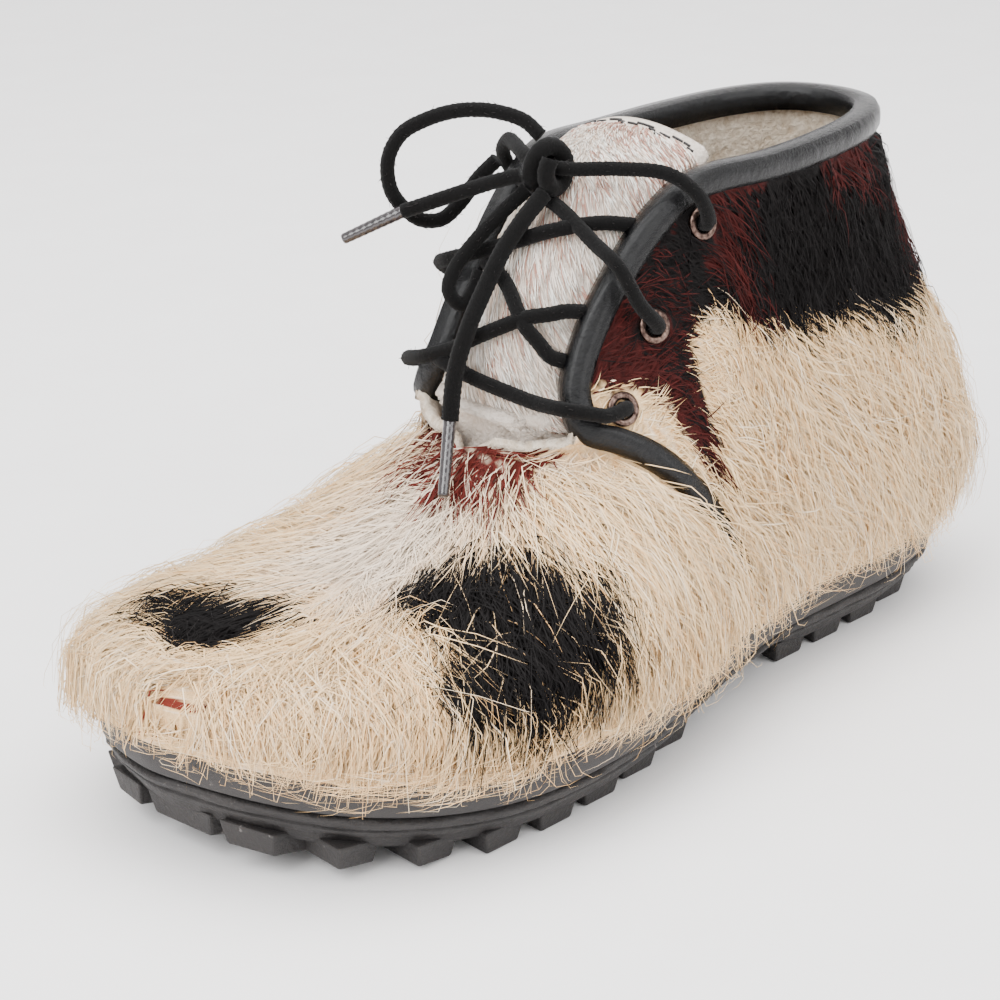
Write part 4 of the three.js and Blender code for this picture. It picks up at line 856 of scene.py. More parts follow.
def tongue_sheet(rows, columns):
    """Middle face of the tongue on a grid, with its outward normals. Under the facings it
    follows the hide's inside; between them it bridges the throat with a low crown."""
    table = curve_through(TONGUE, 24)
    table = even_steps(table * [1, 1, 1, 40, 40], 0.02) / [1, 1, 1, 40, 40]
    table = table[np.linspace(0, len(table) - 1, rows).round().astype(int)]
    shares = np.linspace(-1, 1, columns)
    grid = np.zeros((rows, columns, 3))
    for r, (section, crown, half, back, above) in enumerate(table):
        section = min(max(section, 6.3), 14.2)
        slack = TONGUE_SLACK * smoothstep(QUARTER_FRONT - 1, QUARTER_FRONT + 0.5, section)
        sunk = HIDE_WALL + BINDING_THICKNESS + 2.5 * GAP + TONGUE_THICKNESS / 2 + slack
        line, edge = {}, {}
        for side in (LEFT, RIGHT):
            levels = np.linspace(1, BRIM_LEVEL, 60)
            point, _, _, normal = skin_frame(np.full(60, side), np.full(60, section), levels)
            run = np.concatenate([[0], np.cumsum(np.linalg.norm(np.diff(point, axis=0), axis=1))])
            line[side], edge[side] = (run, point - normal * sunk), point[0] - normal[0] * sunk
        lower = skin(LEFT, min(section + 0.5, RIDGE_START), 1.0)
        upper = skin(LEFT, section - 0.5, 1.0)
        front = np.array([upper[2] - lower[2], 0, lower[0] - upper[0]])
        front = front / max(np.linalg.norm(front), 1e-6)
        for c, share in enumerate(shares):
            side = LEFT if share >= 0 else RIGHT
            middle = (edge[LEFT] + edge[RIGHT]) / 2
            span = abs(edge[side][1] - middle[1])
            distance = abs(share) * half * TONGUE_HALF_WIDTH
            if distance >= span:
                run, points = line[side]
                spot = np.array([np.interp(distance - span, run, points[:, k]) for k in range(3)])
            else:
                part = distance / max(span, 1e-6)
                bow_out = front * crown * TONGUE_CROWN * (1 - part * part)
                spot = middle + (edge[side] - middle) * part + bow_out
            grid[r, c] = spot + [-back * LENGTH, 0, above * COLLAR_HEIGHT]
    along = np.gradient(grid, axis=0)
    across = np.gradient(grid, axis=1)
    normal = np.cross(across, along)
    normal /= np.maximum(np.linalg.norm(normal, axis=2), 1e-9)[..., None]
    if normal[rows // 2, columns // 2, 0] < 0:
        normal = -normal
    return grid, normal


def sheet_solid(name, grid, normal, thickness):
    """Closed slab round a sheet: its two faces stand half a thickness off it and a rim of
    quads joins them."""
    rows, columns = grid.shape[:2]
    front, back = grid + normal * thickness / 2, grid - normal * thickness / 2
    points = np.vstack([front.reshape(-1, 3), back.reshape(-1, 3)])
    faces = grid_faces(rows, columns)
    total = rows * columns
    edge = np.concatenate([np.arange(columns - 1), np.arange(rows - 1) * columns + columns - 1,
                           (rows - 1) * columns + np.arange(columns - 1, 0, -1),
                           np.arange(rows - 1, 0, -1) * columns])
    following = np.roll(edge, -1)
    rim = np.stack([edge, following, following + total, edge + total], axis=1)
    mesh = mesh_from(name, points, [faces, faces[:, ::-1] + total, rim])
    return face_outwards(mesh)


def make_tongue():
    """Tongue: a thin curved slab with short combed hair, a raw pale end and a stitched line."""
    rng = np.random.default_rng(SEED + 2)
    grid, normal = tongue_sheet(TONGUE_ROWS, TONGUE_COLUMNS)
    mesh = sheet_solid("tongue_sheet", grid, normal, TONGUE_THICKNESS)
    tones = [np.array(linear(h)[:3]) for h in ("f0e4d8", "e2cdbb", "fbf4ec")]
    count = len(mesh.vertices)
    rgba = np.ones((count, 4), np.float32)
    rgba[:, :3] = tones[0] * 0.8
    mesh.color_attributes.new("hair_colour", "FLOAT_COLOR", "POINT").data.foreach_set("color", rgba.ravel())
    pieces = [finish_piece("tongue_sheet", mesh, [HIDE], replaced=["tongue"])]
    # Hair: rooted on the front face from under the vamp to near the raw end.
    number = TONGUE_HAIRS
    last_row, last_column = TONGUE_ROWS - 1, TONGUE_COLUMNS - 1
    r, c = rng.uniform(0.27, 0.955, number) * last_row, rng.uniform(0.03, 0.97, number) * last_column
    steps, lines = 3, []
    heading = -0.55 + rng.normal(0, 0.16, number) + 0.5 * (smooth_noise(33, r * 0.09, c * 0.08) - 0.5)
    size = rng.uniform(6.5, 11.0, number)
    pitch_r = np.linalg.norm(np.gradient(grid, axis=0), axis=2).mean()
    pitch_c = np.linalg.norm(np.gradient(grid, axis=1), axis=2).mean()
    near_end = smoothstep(0.80, 0.93, r / last_row)
    streak = smoothstep(0.52, 0.70, smooth_noise(34, r * 0.05, c * 0.45))
    for k in range(steps + 1):
        rise = TONGUE_THICKNESS / 2 - 0.4 + (0.9 + rng.uniform(0, 0.3, number)) * min(k, 2) / 2
        lines.append(between(grid, r, c) + between(normal, r, c) * rise[:, None])
        r = r - np.cos(heading) * size / steps / pitch_r
        c = c - np.sin(heading) * size / steps / pitch_c
    path = np.stack(lines, axis=1)
    tone = rng.random(number)[:, None]
    colour = np.where(tone < 0.5, tones[0], np.where(tone < 0.8, tones[2], tones[1]))
    pinkish = (rng.random(number) < 0.30 * near_end + 0.32 * streak)[:, None]
    colour = np.where(pinkish, np.array(linear("b98f80")[:3]), colour)
    # Roots are painted darker as shade among the hairs; tips are a little lighter.
    hair = strand_mesh("tongue_hair", path, rng.uniform(0.3, 0.55, number), colour * 0.9,
                       np.minimum(colour * 1.05, 0.95))
    pieces.append(finish_piece("tongue_hair", hair, [HAIR]))
    # Stitches: short bars in two waving rows below the raw end.
    parts = []
    for k in range(26):
        row = int(0.955 * last_row + 0.9 * math.sin(k * 0.9))
        column = int((0.10 + 0.0317 * k) * last_column)
        middle = grid[row, column] + normal[row, column] * (TONGUE_THICKNESS / 2 + 0.25)
        way = grid[row, min(column + 1, last_column)] - grid[row, column - 1]
        line = middle + way / np.linalg.norm(way) * np.linspace(-1.0, 1.0, 4)[:, None]
        parts.append(sweep(line, round_ring(0.34, 6, len(line))))
    points, quads, caps = joined(parts)
    mesh = face_outwards(mesh_from("tongue_stitches", points, [quads, caps]))
    pieces.append(finish_piece("tongue_stitches", mesh, [THREAD]))
    return pieces


def between(grid, row, column):
    """Values of a grid at places between its rows and columns, by the four nearest."""
    row = np.clip(row, 0, grid.shape[0] - 1.001)
    column = np.clip(column, 0, grid.shape[1] - 1.001)
    a, b = row.astype(int), column.astype(int)
    fr, fc = (row - a)[:, None], (column - b)[:, None]
    return ((grid[a, b] * (1 - fr) + grid[a + 1, b] * fr) * (1 - fc)
            + (grid[a, b + 1] * (1 - fr) + grid[a + 1, b + 1] * fr) * fc)


def round_ring(radius, corners, rings):
    """Profile for sweep: the same circle of a few corners at each of its rings."""
    angle = 2 * math.pi * np.arange(corners) / corners
    ring = np.stack([radius * np.cos(angle), radius * np.sin(angle)], axis=1)
    return np.repeat(ring[None], rings, axis=0)


def binding_stations():
    """Edge of the quarters: down the left seam to its facing, round the collar and back down
    the right one. Each station has a point, the way up over the edge and the way out."""
    seam = [(QUARTER_FRONT - 0.02, level) for level in np.linspace(0.30, 0.90, 20)]
    corner = [(10.97, 0.935), (10.92, 0.96), (10.84, 0.98), (10.72, 0.993)]
    rim = [(place, 1.0) for place in np.linspace(10.55, 0.02, 150)]
    left = np.array(seam + corner + rim)
    stops = [(LEFT, p, v) for p, v in left] + [(RIGHT, p, v) for p, v in left[::-1]]
    side, place, level = (np.array(column) for column in zip(*stops))
    point, along, up, normal = skin_frame(side, place, level)
    ahead = np.gradient(point, axis=0)
    ahead /= np.linalg.norm(ahead, axis=1)[:, None]
    # Over the rim the strip faces up the section; down the seam it faces the vamp.
    turn = smoothstep(0.90, 1.0, level)[:, None]
    front = along / np.linalg.norm(along, axis=1)[:, None]
    over = up / np.linalg.norm(up, axis=1)[:, None] * turn + front * (1 - turn)
    over -= ahead * np.sum(over * ahead, axis=1)[:, None]
    over /= np.linalg.norm(over, axis=1)[:, None]
    out = normal - ahead * np.sum(normal * ahead, axis=1)[:, None]
    out -= over * np.sum(out * over, axis=1)[:, None]
    out /= np.linalg.norm(out, axis=1)[:, None]
    return point, over, out, level


def make_binding():
    """Binding: a soft roll folded over the edge. The section is a closed U with full, puckered
    cheeks; its outer cheek swells and sinks a little along the edge."""
    point, over, out, level = binding_stations()
    run = np.concatenate([[0], np.cumsum(np.linalg.norm(np.diff(point, axis=0), axis=1))])
    line = even_steps(np.hstack([point, over, out, level[:, None]]), 1.6)
    point, over, out, level = line[:, :3], line[:, 3:6], line[:, 6:9], line[:, 9]
    outside, inside_face = QUARTER_STEP + GAP, -HIDE_WALL - GAP
    t = BINDING_THICKNESS
    deep = BINDING_DEPTH
    profile = np.array([
        (outside + 0.1, -deep), (outside + t * 0.8, -deep + 0.1), (outside + t * 1.25, -deep * 0.72),
        (outside + t * 1.35, -deep * 0.4), (outside + t * 1.2, -0.5), (outside + t * 0.5, GAP + t * 0.75),
        (0.5 * (outside + inside_face), GAP + t * 1.1), (inside_face - t * 0.3, GAP + t * 0.75),
        (inside_face - t, -0.4), (inside_face - t * 1.1, -deep * 0.6), (inside_face - t * 0.7, -deep + 0.1),
        (inside_face, -deep), (inside_face, GAP), (outside, GAP),
    ])
    count, rings = len(profile), len(point)
    s = np.linspace(0, run[-1], rings)
    pucker = 0.35 * (smooth_noise(51, s * 0.35) - 0.5) + 0.22 * (smooth_noise(52, s * 1.3) - 0.5)
    narrow = 1 - 0.25 * (1 - smoothstep(0.3, 0.8, level))
    offset = np.repeat(profile[None], rings, axis=0)
    swell = np.zeros(count)
    swell[2:5] = 1.0
    offset[:, :, 0] += pucker[:, None] * swell
    offset[:, :, 1] = offset[:, :, 1] * narrow[:, None]
    seam = 1 - smoothstep(0.6, 0.95, level)
    thin = 1 - 0.75 * seam[:, None]
    offset[:, 6:13, 0] = offset[:, 6:13, 0] * thin + (1 - thin) * (outside - 0.7)
    points = point[:, None] + out[:, None] * offset[..., :1] + over[:, None] * offset[..., 1:]
    flat = np.vstack([points.reshape(-1, 3), points[0].mean(axis=0), points[-1].mean(axis=0)])
    k = np.arange(count)
    last = (rings - 1) * count
    caps = np.vstack([np.stack([(k + 1) % count, k, np.full(count, len(flat) - 2)], axis=1),
                      np.stack([last + k, last + (k + 1) % count, np.full(count, len(flat) - 1)], axis=1)])
    mesh = mesh_from("collar_binding", flat, [grid_faces(rings, count, around=True), caps])
    face_outwards(mesh)
    return finish_piece("collar_binding", mesh, [VINYL], replaced=["binding"])


def turned_ring(profile, middle, axis, count=40):
    """Closed ring turned round an axis from a closed (radius, height) profile."""
    profile = np.asarray(profile, float)
    axis = axis / np.linalg.norm(axis)
    first = np.cross(axis, [0, 0, 1.0])
    first /= np.linalg.norm(first)
    second = np.cross(axis, first)
    angle = 2 * math.pi * np.arange(count) / count
    spoke = np.cos(angle)[:, None] * first + np.sin(angle)[:, None] * second
    points = middle + profile[None, :, :1] * spoke[:, None] + profile[None, :, 1:] * axis
    around = len(profile)
    r, c = np.arange(count)[:, None], np.arange(around)[None]
    a, b = r * around + c, r * around + (c + 1) % around
    d = ((r + 1) % count) * around + c
    e = ((r + 1) % count) * around + (c + 1) % around
    quads = np.stack([a, b, e, d], axis=-1).reshape(-1, 4)
    return points.reshape(-1, 3), quads, np.zeros((0, 3), int)


def make_eyelets():
    """Eyelets: a rolled rim and a barrel, turned round the hide's normal."""
    seat = QUARTER_STEP + 0.3
    roll = [(3.55 + 1.05 * math.cos(a), seat + 0.75 + 0.75 * math.sin(a))
            for a in np.linspace(-0.6, math.pi, 9)]
    profile = roll + [(EYELET_HOLE, seat), (EYELET_HOLE, -HIDE_WALL), (EYELET_HOLE + 0.5, -HIDE_WALL),
                      (EYELET_HOLE + 0.5, seat - 0.1), (EYELET_OUTER - 0.2, seat - 0.1)]
    pieces = []
    for side, word in ((LEFT, "left"), (RIGHT, "right")):
        for number in range(len(EYELETS)):
            middle, normal = eyelet_seat(side, number)
            name = f"eyelet_{word}_{number + 1}"
            points, quads, _ = turned_ring(profile, middle, normal)
            mesh = mesh_from(f"ring_{name}", points, [quads])
            face_outwards(mesh)
            pieces.append(finish_piece(f"ring_{name}", mesh, [BRASS], replaced=[name]))
    return pieces


# Lace.
KNOT_AT = np.array([0.5208 * LENGTH, -0.0103 * BALL_WIDTH, 1.015 * COLLAR_HEIGHT])
# Runs of the lace between eyelets. Plain stops are shares of LENGTH, BALL_WIDTH and
# COLLAR_HEIGHT. Stops named left, right or knot hold an eyelet's number and millimetres from
# its front, or from the knot. Stops named under hold a side and a section: there the run
# passes beneath that side's facing.
LACE_RUNS = {
    "lace_bars_lower": [
        [("left", 0, 0, 0, 0), ("left", 0, 7.8, -0.4, -0.1), (0.5972, 0.2828, 0.6449),
         (0.6145, 0.2431, 0.6544), (0.6159, 0.1552, 0.6531), (0.6176, 0.0776, 0.6599),
         (0.6215, 0, 0.6707), (0.6215, -0.069, 0.6803), (0.6187, -0.1259, 0.6884), ("under", -1, 10.1)],
        [("under", 1, 8.6), (0.5758, 0.1586, 0.8), (0.5834, 0.1328, 0.7946), (0.5952, 0.0862, 0.7864),
         (0.6055, 0.0362, 0.7673), (0.6125, -0.0259, 0.7415), (0.618, -0.0862, 0.7143),
         (0.6228, -0.1638, 0.6898), (0.609, -0.2466, 0.6667), ("right", 0, 9.8, -1.6, 1.8),
         ("right", 0, 0, 0, 0)],
        [("under", 1, 9.5), (0.5924, 0.1534, 0.7238), (0.5962, 0.1224, 0.7483),
         (0.5983, 0.0862, 0.7741), (0.5945, 0.0569, 0.7959), (0.5862, 0.0172, 0.8204),
         (0.5744, -0.0345, 0.834), (0.5620, -0.1, 0.84), ("under", -1, 8.2)],
    ],
    "lace_bars_upper": [
        [("left", 1, 0, 0, 0), ("left", 1, 7, -0.6, 7.2), (0.5481, 0.2534, 0.8803),
         (0.5419, 0.1724, 0.9075), (0.5349, 0.1, 0.932), (0.5287, 0.0483, 0.9456),
         (0.512, -0.06, 0.957), (0.492, -0.15, 0.958), ("under", -1, 6.6)],
        [("under", 1, 6.9), (0.5156, 0.1431, 0.9306), (0.5336, 0.1034, 0.9279),
         (0.5502, 0.0431, 0.9143), (0.5606, -0.0345, 0.8898), (0.5709, -0.1207, 0.8639),
         (0.573, -0.2069, 0.8395), ("right", 1, 13.5, -0.3, 8.7), ("right", 1, 0, 0, 0)],
    ],
    "lace_bars_top": [
        [("left", 2, 0, 0, 0), ("left", 2, 5.8, 1.1, 8.7), (0.474, 0.2414, 1.0136),
         (0.4962, 0.1379, 1.019), ("knot", 0, -1.7, 7.2, 0), ("knot", 0, 0, 0, 0),
         ("knot", 0, -2.5, -9.8, 0.6), (0.49, -0.1776, 1.0204), (0.4692, -0.25, 1.0136),
         ("right", 2, 5.1, -2.1, 9.3), ("right", 2, 0, 0, 0)],
    ],
}
# Middle lines of the bow's free lace, in millimetres from the knot's middle.
LOOP_LARGE = [(0.1, -2.4, 7.6), (1.7, -6.8, 11.3), (6.3, -14.8, 13.6), (11.4, -22, 13.3),
              (16.1, -28.3, 10.9), (19.9, -33.4, 7.1), (22.1, -36.3, 0.2), (21.8, -35.8, -7.9),
              (19.8, -33.2, -12.7), (17.2, -29.7, -15.8), (13.5, -25.8, -15.8), (9.9, -22.8, -12),
              (6.5, -18.8, -5), (4.3, -14.2, 0.2)]
LOOP_SMALL = [(5.6, -2.6, -5.6), (12.3, -6, -11.4), (19.1, -9.2, -18.2), (24.5, -11.2, -24.6),
              (27.3, -10.4, -29.4), (25.7, -7.6, -32.8), (22.1, -6.8, -29.8), (19.3, -6.8, -25)]
END_SHORT = [(8, -2.8, -1.3), (11.5, -7.4, -2.8), (14.9, -13.8, -5.4), (20.1, -22.2, -9),
             (24.5, -29.2, -12)]
END_LONG = [(5.1, 2.8, -6), (11.9, 2.2, -11), (18.7, 0.8, -18.4), (24.5, 0, -26.8), (31.3, 0, -36.2),
            (36.5, 0, -46.8), (40.1, 1.2, -58.6)]
TIP_SHORT = (34.1, -41.8, -19.6)
TIP_LONG = (50.1, 7.8, -75)
FIBRES_PER_MM = 2.2
BRAID_SIDES = 14
BRAID_STEP = 0.75
BRAID_PITCH = 5.2  # length of one turn of a strand of the braid


def lace_stop(stop):
    """Point of the lace's middle line for one stop, and the way into the eyelet if it has one."""
    if not isinstance(stop[0], str):
        return np.array(stop) * [LENGTH, BALL_WIDTH, COLLAR_HEIGHT]
    name, number, *offset = stop
    if name == "under":
        point, _, _, normal = skin_frame(np.array([number]), np.array(offset), np.array([0.96]))
        return point[0] - normal[0] * 2.6
    if name == "knot":
        return KNOT_AT + offset
    middle, normal = eyelet_seat(LEFT if name == "left" else RIGHT, number)
    return middle + normal * (QUARTER_STEP + 1.0 + GAP + LACE_DIAMETER / 2) + offset


def braid_profile(diameter, line, flat=1.0):
    """Ring of a braided lace: a circle whose radius rises where one of the crossing strands
    passes over, as the product of a right-hand and a left-hand wave."""
    run = np.concatenate([[0], np.cumsum(np.linalg.norm(np.diff(line, axis=0), axis=1))])
    angle = 2 * math.pi * np.arange(BRAID_SIDES) / BRAID_SIDES
    turn = 2 * math.pi * run[:, None] / BRAID_PITCH
    wave = np.sin(3 * angle[None] + turn * 2) * np.sin(3 * angle[None] - turn * 2)
    radius = diameter / 2 * (0.97 + 0.085 * wave)
    return np.stack([radius * np.cos(angle), radius * np.sin(angle) * flat], axis=-1)


def braid(points, diameter, flat=1.0):
    """Braided tube through given points; returns its parts and its middle line."""
    line = even_steps(curve_through(points, 24), BRAID_STEP)
    return sweep(line, braid_profile(diameter, line, flat)), line


def lace_piece(name, parts, replaced):
    points, quads, caps = joined(parts)
    mesh = mesh_from(name, points, [quads, caps])
    face_outwards(mesh)
    return finish_piece(name, mesh, [LACE], replaced=replaced)


def fuzz(name, lines, diameter, per_mm, seed):
    """Loose cotton fibres: short fine strands that stand off the lace's face."""
    rng = np.random.default_rng(seed)
    paths = []
    for line in lines:
        run = np.linalg.norm(np.diff(line, axis=0), axis=1).sum()
        count = int(run * per_mm)
        at = rng.integers(1, len(line) - 1, count)
        ahead = line[at + 1] - line[at - 1]
        ahead /= np.linalg.norm(ahead, axis=1)[:, None]
        out = np.cross(ahead, rng.normal(size=(count, 3)))
        out /= np.linalg.norm(out, axis=1)[:, None]
        lean = ahead * rng.normal(0, 0.8, (count, 1)) + out * rng.uniform(0.3, 1.0, (count, 1))
        size = rng.uniform(0.5, 1.5, (count, 1))
        root = line[at] + out * diameter * 0.46
        half_way, tip = root + lean * size * 0.5, root + lean * size + out * size * 0.1
        paths.append(np.stack([root, half_way, tip], axis=1))
    path = np.vstack(paths)
    colour = np.tile(np.array(linear("2e2b2b")[:3]), (len(path), 1))
    mesh = strand_mesh(name, path, np.full(len(path), 0.16), colour, colour)
    return finish_piece(name, mesh, [HAIR])


def make_lacing():
    """Lacing between the eyelets. Each run that starts or ends at an eyelet goes on through it
    to behind the hide."""
    pieces, lines = [], []
    for name, runs in LACE_RUNS.items():
        parts = []
        for stops in runs:
            points = [lace_stop(stop) for stop in stops]
            for end, where in ((stops[0], 0), (stops[-1], len(points))):
                if end[0] in ("left", "right"):
                    middle, normal = eyelet_seat(LEFT if end[0] == "left" else RIGHT, end[1])
                    through = [middle - normal * 5.0, middle + normal * 0.4]
                    if where == 0:
                        points[0] = points[0] * 0.35 + (middle + normal * 4.2) * 0.65
                        points = through + points
                    else:
                        points[-1] = points[-1] * 0.35 + (middle + normal * 4.2) * 0.65
                        points = points + through[::-1]
            part, line = braid(points, LACE_DIAMETER)
            parts.append(part)
            lines.append(line)
        pieces.append(lace_piece("laced_" + name[5:], parts, [name]))
    return pieces, lines


def make_bow():
    """Bow: the knot as a lace wrapped round the top run, two loops and two ends, each end
    closed by its film tip."""
    angles = np.linspace(-0.85, 0.85, 60)
    radius = (LACE_DIAMETER + 4.6) / 2 + 0.9
    wrap = np.stack([KNOT_AT[0] + radius * np.cos(2 * math.pi * angles + math.pi / 2),
                     KNOT_AT[1] + 5.2 * angles,
                     KNOT_AT[2] + radius * np.sin(2 * math.pi * angles + math.pi / 2)], axis=1)
    wrap_line = even_steps(wrap, BRAID_STEP)
    knot = lace_piece("bow_knot", [sweep(wrap_line, braid_profile(4.8, wrap_line))], ["lace_knot"])
    lines = [wrap_line]
    made = {}
    for name, offsets, diameter, replaced in (
            ("bow_loop_large", LOOP_LARGE, LACE_DIAMETER, "lace_loop_large"),
            ("bow_loop_small", LOOP_SMALL, LACE_DIAMETER, "lace_loop_small"),
            ("bow_end_short", END_SHORT, LACE_DIAMETER, "lace_end_short"),
            ("bow_end_long", END_LONG, LONG_END_DIAMETER, "lace_end_long")):
        part, line = braid(np.array(offsets) + KNOT_AT, diameter)
        made[name] = (lace_piece(name, [part], [replaced]), line, diameter)
        lines.append(line)
    tips = {}
    for name, end, tip, replaced in (("tip_short", "bow_end_short", TIP_SHORT, "aglet_short"),
                                     ("tip_long", "bow_end_long", TIP_LONG, "aglet_long")):
        start = made[end][1][-1]
        goal = KNOT_AT + tip
        way = (goal - start) / np.linalg.norm(goal - start)
        line = start + way * np.linspace(-0.3, np.linalg.norm(goal - start), 40)[:, None]
        share = np.linspace(0, 1, 40)
        rounded = np.sqrt(np.clip(1 - ((share - 0.03) / 0.99) ** 60, 0.2, 1))
        size = AGLET_DIAMETER / 2 * (1.08 - 0.16 * share) * rounded
        size = size * (1 + 0.03 * np.sin(share * 60))
        angle = 2 * math.pi * np.arange(16) / 16
        ring = np.stack([size[:, None] * np.cos(angle), size[:, None] * np.sin(angle)], axis=-1)
        points, quads, caps = sweep(line, ring)
        mesh = mesh_from(name, points, [quads, caps])
        face_outwards(mesh)
        tips[end] = finish_piece(name, mesh, [ACETATE], replaced=[replaced])
    for name, (piece, line, diameter) in made.items():
        ends = [tips[name]] if name in tips else []
        if name == "bow_end_long":
            ends.append(knot)
    return list(made.values()), lines


# Sole.
def outline_ring(inset, height, count, waist=0.0):
    """Ring of the outline moved inwards. Its height is the given one, plus the toe spring and a
    share of the rise at the waist."""
    share = np.linspace(0, 1, count // 2 + 1)
    left = outline_at(LEFT, share, inset)
    right = outline_at(RIGHT, share[1:-1], inset)[::-1]
    flat = np.vstack([left, right])
    return np.column_stack([flat, height + arch(flat[:, 0]) * waist + spring(flat[:, 0])])


def stacked(name, rings):
    """Closed solid through rings of equal count, its ends closed by strips across."""
    count = len(rings[0])
    points = np.vstack(rings)
    half = count // 2
    k = np.arange(half)
    strip = np.stack([k, k + 1, (count - k - 1) % count, (count - k) % count], axis=1)
    top = (len(rings) - 1) * count
    first, last = strip[1:-1], strip[1:-1, ::-1] + top
    tips = np.array([[0, 1, count - 1], [half - 1, half, half + 1]])
    mesh = mesh_from(name, points, [grid_faces(len(rings), count, around=True), first, last,
                                    tips, tips[:, ::-1] + top])
    return face_outwards(mesh)


def make_sole():
    """Cup wall, outsole body and lugs, as rings of the outline and bevelled blocks."""
    count = SOLE_POINTS
    section = [(2.2, 14.3), (0.9, 14.6), (0.25, 15.4), (0.0, 17.5), (0.15, 21.0), (0.7, 25.4),
               (1.2, 26.5), (1.9, WALL_TOP), (4.4, WALL_TOP), (4.9, 26.5), (WALL_THICKNESS, CUP_FLOOR)]
    wall = [outline_ring(inset, height, count) for inset, height in section]
    mesh = stacked("cup_wall", wall)
    pieces = [finish_piece("cup_wall", mesh, [WALL_RUBBER], replaced=["midsole_cup"])]
    # Outsole body: underside, rough band with two thin lines in it, and a shadow groove.
    levels = [(7.0, 4.6, 1.0), (5.4, 6.2, 0.7), (4.5, 7.8, 0.5), (3.9, 8.4, 0.4), (3.3, 8.7, 0.35),
              (3.0, 9.2, 0.3),
              (2.7, 9.9, 0.25), (3.1, 10.2, 0.2), (3.2, 10.5, 0.2), (2.3, 10.9, 0.15), (1.5, 11.6, 0.1),
              (1.2, 12.4, 0.0), (1.3, 13.0, 0.0), (1.6, 13.3, 0.0), (2.4, 13.9, 0.0)]
    rings = []
    for number, (inset, z, waist) in enumerate(levels):
        ring = outline_ring(inset, z, count, waist)
        if 1 < number < 13:
            angle = np.arange(count) * 2 * math.pi / count
            place = (np.cos(angle) * 40, np.sin(angle) * 40, np.full(count, z * 1.7))
            crumb = (smooth_noise(71, *place) - 0.5) * 0.9
            inward = -(ring[:, :2] - outline_ring(inset + 1, z, count)[:, :2])
            ring[:, :2] += inward * crumb[:, None] * (0.6 if number in (6, 7, 8) else 1.0)
        rings.append(ring)
    mesh = stacked("outsole_body", rings)
    pieces.append(finish_piece("outsole_body", mesh, [TREAD_RUBBER], replaced=["outsole"]))
    # Lugs: rows of three blocks with bevelled edges.
    left_edge = outline_at(LEFT, np.linspace(0, 1, 400), 0)
    right_edge = outline_at(RIGHT, np.linspace(0, 1, 400), 0)
    parts = []
    for share in (0.045, 0.107, 0.1696, 0.232, 0.294, 0.526, 0.588, 0.650, 0.712, 0.774, 0.836, 0.898, 0.952):
        x = share * LENGTH
        left = np.interp(x, left_edge[:, 0], left_edge[:, 1]) - 8
        right = np.interp(x, right_edge[:, 0], -right_edge[:, 1]) - 8
        middle, reach = (left - right) / 2, (left + right) / 2
        core = reach * 0.36
        skew = (-4 if share > 0.5 else 4) if share > 0.93 or share < 0.06 else 4
        for inner, outer, lean in ((middle - core, middle + core, 0), (middle + core + 5.5, left, skew),
                                   (middle - core - 5.5, -right, skew)):
            parts.append(lug(x, inner, outer, lean))
    points, quads, _ = joined(parts)
    mesh = mesh_from("outsole_lugs", points, [quads])
    face_outwards(mesh)
    piece = finish_piece("outsole_lugs", mesh, [TREAD_RUBBER], smooth=False)
    edges = piece.modifiers.new("worn_edges", "BEVEL")
    edges.width, edges.segments, edges.limit_method = 0.7 * MM, 2, "ANGLE"
    pieces.append(piece)
    return pieces


def lug(x, inner, outer, lean):
    """One tread block: a quarter pyramid stump from the floor up into the outsole."""
    root, half, grow_out = TREAD_DEPTH + 1.9, 11.5 / 2, 1.3
    sign = math.copysign(1, outer - inner)
    corners = []
    for level, grow_by in ((0.0, 0.0), (root, grow_out)):
        for dx, y, shift in ((-half, inner, 0), (half, inner, 0), (half, outer, lean), (-half, outer, lean)):
            px = x + dx + shift + math.copysign(grow_by, dx)
            py = y + (sign if y == outer else -sign) * grow_by
            corners.append((px, py, level + spring(np.array(px)) + 0.02))
    quads = np.array([(0, 3, 2, 1), (4, 5, 6, 7), (0, 1, 5, 4), (1, 2, 6, 5), (2, 3, 7, 6), (3, 0, 4, 7)])
    return np.array(corners, float), quads, np.zeros((0, 3), int)


def make_insole():
    """Insole: a flat pile pad with a rounded upper edge."""
    inset = WALL_THICKNESS + HIDE_WALL + 0.6
    count = 200
    rings = [outline_ring(inset, CUP_FLOOR + GAP, count), outline_ring(inset, 21.4, count),
             outline_ring(inset + 0.9, 22.3, count)]
    mesh = stacked("insole_pile", rings)
    return finish_piece("insole_pile", mesh, [INSOLE_PILE], replaced=["insole"])


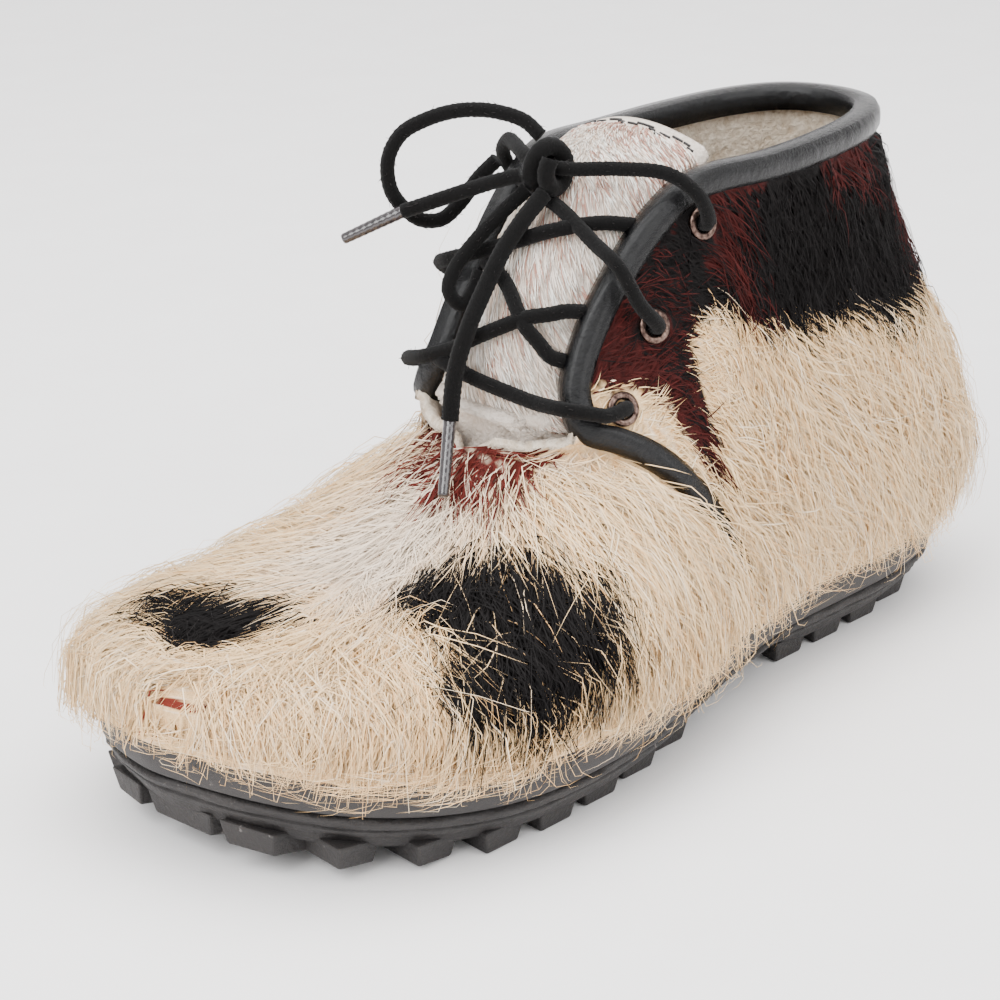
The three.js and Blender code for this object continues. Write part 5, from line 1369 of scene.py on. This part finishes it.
# Floor, light and camera.
def make_stage():
    """Pale floor that runs up into a pale backdrop, as one swept sheet."""
    reach = 2.6
    profile = [(-reach, 0.0)] + [(1.2 + 0.6 * math.sin(a), 0.6 - 0.6 * math.cos(a))
                                 for a in np.linspace(0, math.pi / 2, 12)] + [(1.8, 2.6)]
    floor = bpy.data.meshes.new("floor")
    back = np.array([-math.sin(CAMERA_TURN), math.cos(CAMERA_TURN)])
    side = np.array([math.cos(CAMERA_TURN), math.sin(CAMERA_TURN)])
    points, faces = [], []
    for run, height in profile:
        for across in (-reach * 1.6, reach * 1.6):
            spot = back * run + side * across
            points.append((spot[0], spot[1], height))
    for k in range(len(profile) - 1):
        faces.append((2 * k, 2 * k + 1, 2 * k + 3, 2 * k + 2))
    floor.from_pydata(points, [], faces)
    floor.update()
    material, tree, shader = new_material("paper_sweep_white", Roughness=0.9, Specular_IOR_Level=0.1)
    grain = object_noise(tree, 30.0, 2.0)
    colour = ramp(tree, grain.outputs["Fac"], [(0.0, "f4f2f2"), (1.0, "faf9f9")])
    tree.links.new(colour, shader.inputs["Base Color"])
    floor.materials.append(material)
    sheet = bpy.data.objects.new("floor", floor)
    bpy.context.scene.collection.objects.link(sheet)
    floor.polygons.foreach_set("use_smooth", np.full(len(floor.polygons), True))


CAMERA_TURN = math.radians(132.92)
CAMERA_RISE = math.radians(20.68)
CAMERA_ROLL = math.radians(-1.0)
CAMERA_REACH = 0.79994
CAMERA_TARGET = np.array([0.11516, -0.00758, 0.0594])
CAMERA_LENS = 107.86


def make_camera():
    """Camera on a sphere round the target: turn from +Y, rise above the floor, then a roll."""
    right = np.array([math.cos(CAMERA_TURN), math.sin(CAMERA_TURN), 0.0])
    back = np.array([math.sin(CAMERA_TURN) * math.cos(CAMERA_RISE),
                     -math.cos(CAMERA_TURN) * math.cos(CAMERA_RISE), math.sin(CAMERA_RISE)])
    up = np.cross(back, right)
    axis_x = right * math.cos(CAMERA_ROLL) + up * math.sin(CAMERA_ROLL)
    axis_y = -right * math.sin(CAMERA_ROLL) + up * math.cos(CAMERA_ROLL)
    data = bpy.data.cameras.new("camera")
    data.lens, data.sensor_width, data.sensor_fit = CAMERA_LENS, 36.0, "HORIZONTAL"
    data.clip_start, data.clip_end = 0.05, 20.0
    camera = bpy.data.objects.new("camera", data)
    bpy.context.scene.collection.objects.link(camera)
    placed = Matrix.Identity(4)
    for column, axis in enumerate((axis_x, axis_y, back, CAMERA_TARGET + back * CAMERA_REACH)):
        placed.col[column][:3] = axis
    camera.matrix_world = placed
    bpy.context.scene.camera = camera


def make_lights():
    """Soft white studio: a wide top bank, a key from the camera's left and a low fill."""
    world = bpy.data.worlds.new("studio")
    bpy.context.scene.world = world
    world.use_nodes = True
    background = world.node_tree.nodes["Background"]
    background.inputs["Color"].default_value = linear("ffffff")
    background.inputs["Strength"].default_value = 1.35
    banks = [
        # name, place, target, width, depth, watts
        ("top_bank", (0.15, 0.05, 1.3), (0.1, 0, 0.05), 1.6, 1.6, 34.0),
        ("key_bank", (1.15, 0.15, 0.9), (0.1, 0, 0.06), 0.8, 0.8, 16.0),
        ("side_bank", (-0.1, 1.2, 0.7), (0.08, 0, 0.06), 0.8, 0.8, 8.0),
    ]
    for name, where, target, width, depth, watts in banks:
        data = bpy.data.lights.new(name, "AREA")
        data.shape, data.size, data.size_y, data.energy = "RECTANGLE", width, depth, watts
        lamp = bpy.data.objects.new(name, data)
        bpy.context.scene.collection.objects.link(lamp)
        lamp.location = where
        lamp.rotation_mode = "QUATERNION"
        lamp.rotation_quaternion = (Vector(target) - Vector(where)).to_track_quat("-Z", "Y")


# The boot.
make_camera()
bow, bow_lines = make_bow()
lacing, lacing_lines = make_lacing()
fuzz("lace_fuzz", bow_lines + lacing_lines, LACE_DIAMETER, FIBRES_PER_MM, SEED + 5)
make_sole()
make_insole()
make_hide()
make_coat()
make_tongue()
make_binding()
make_eyelets()
make_stage()
make_lights()
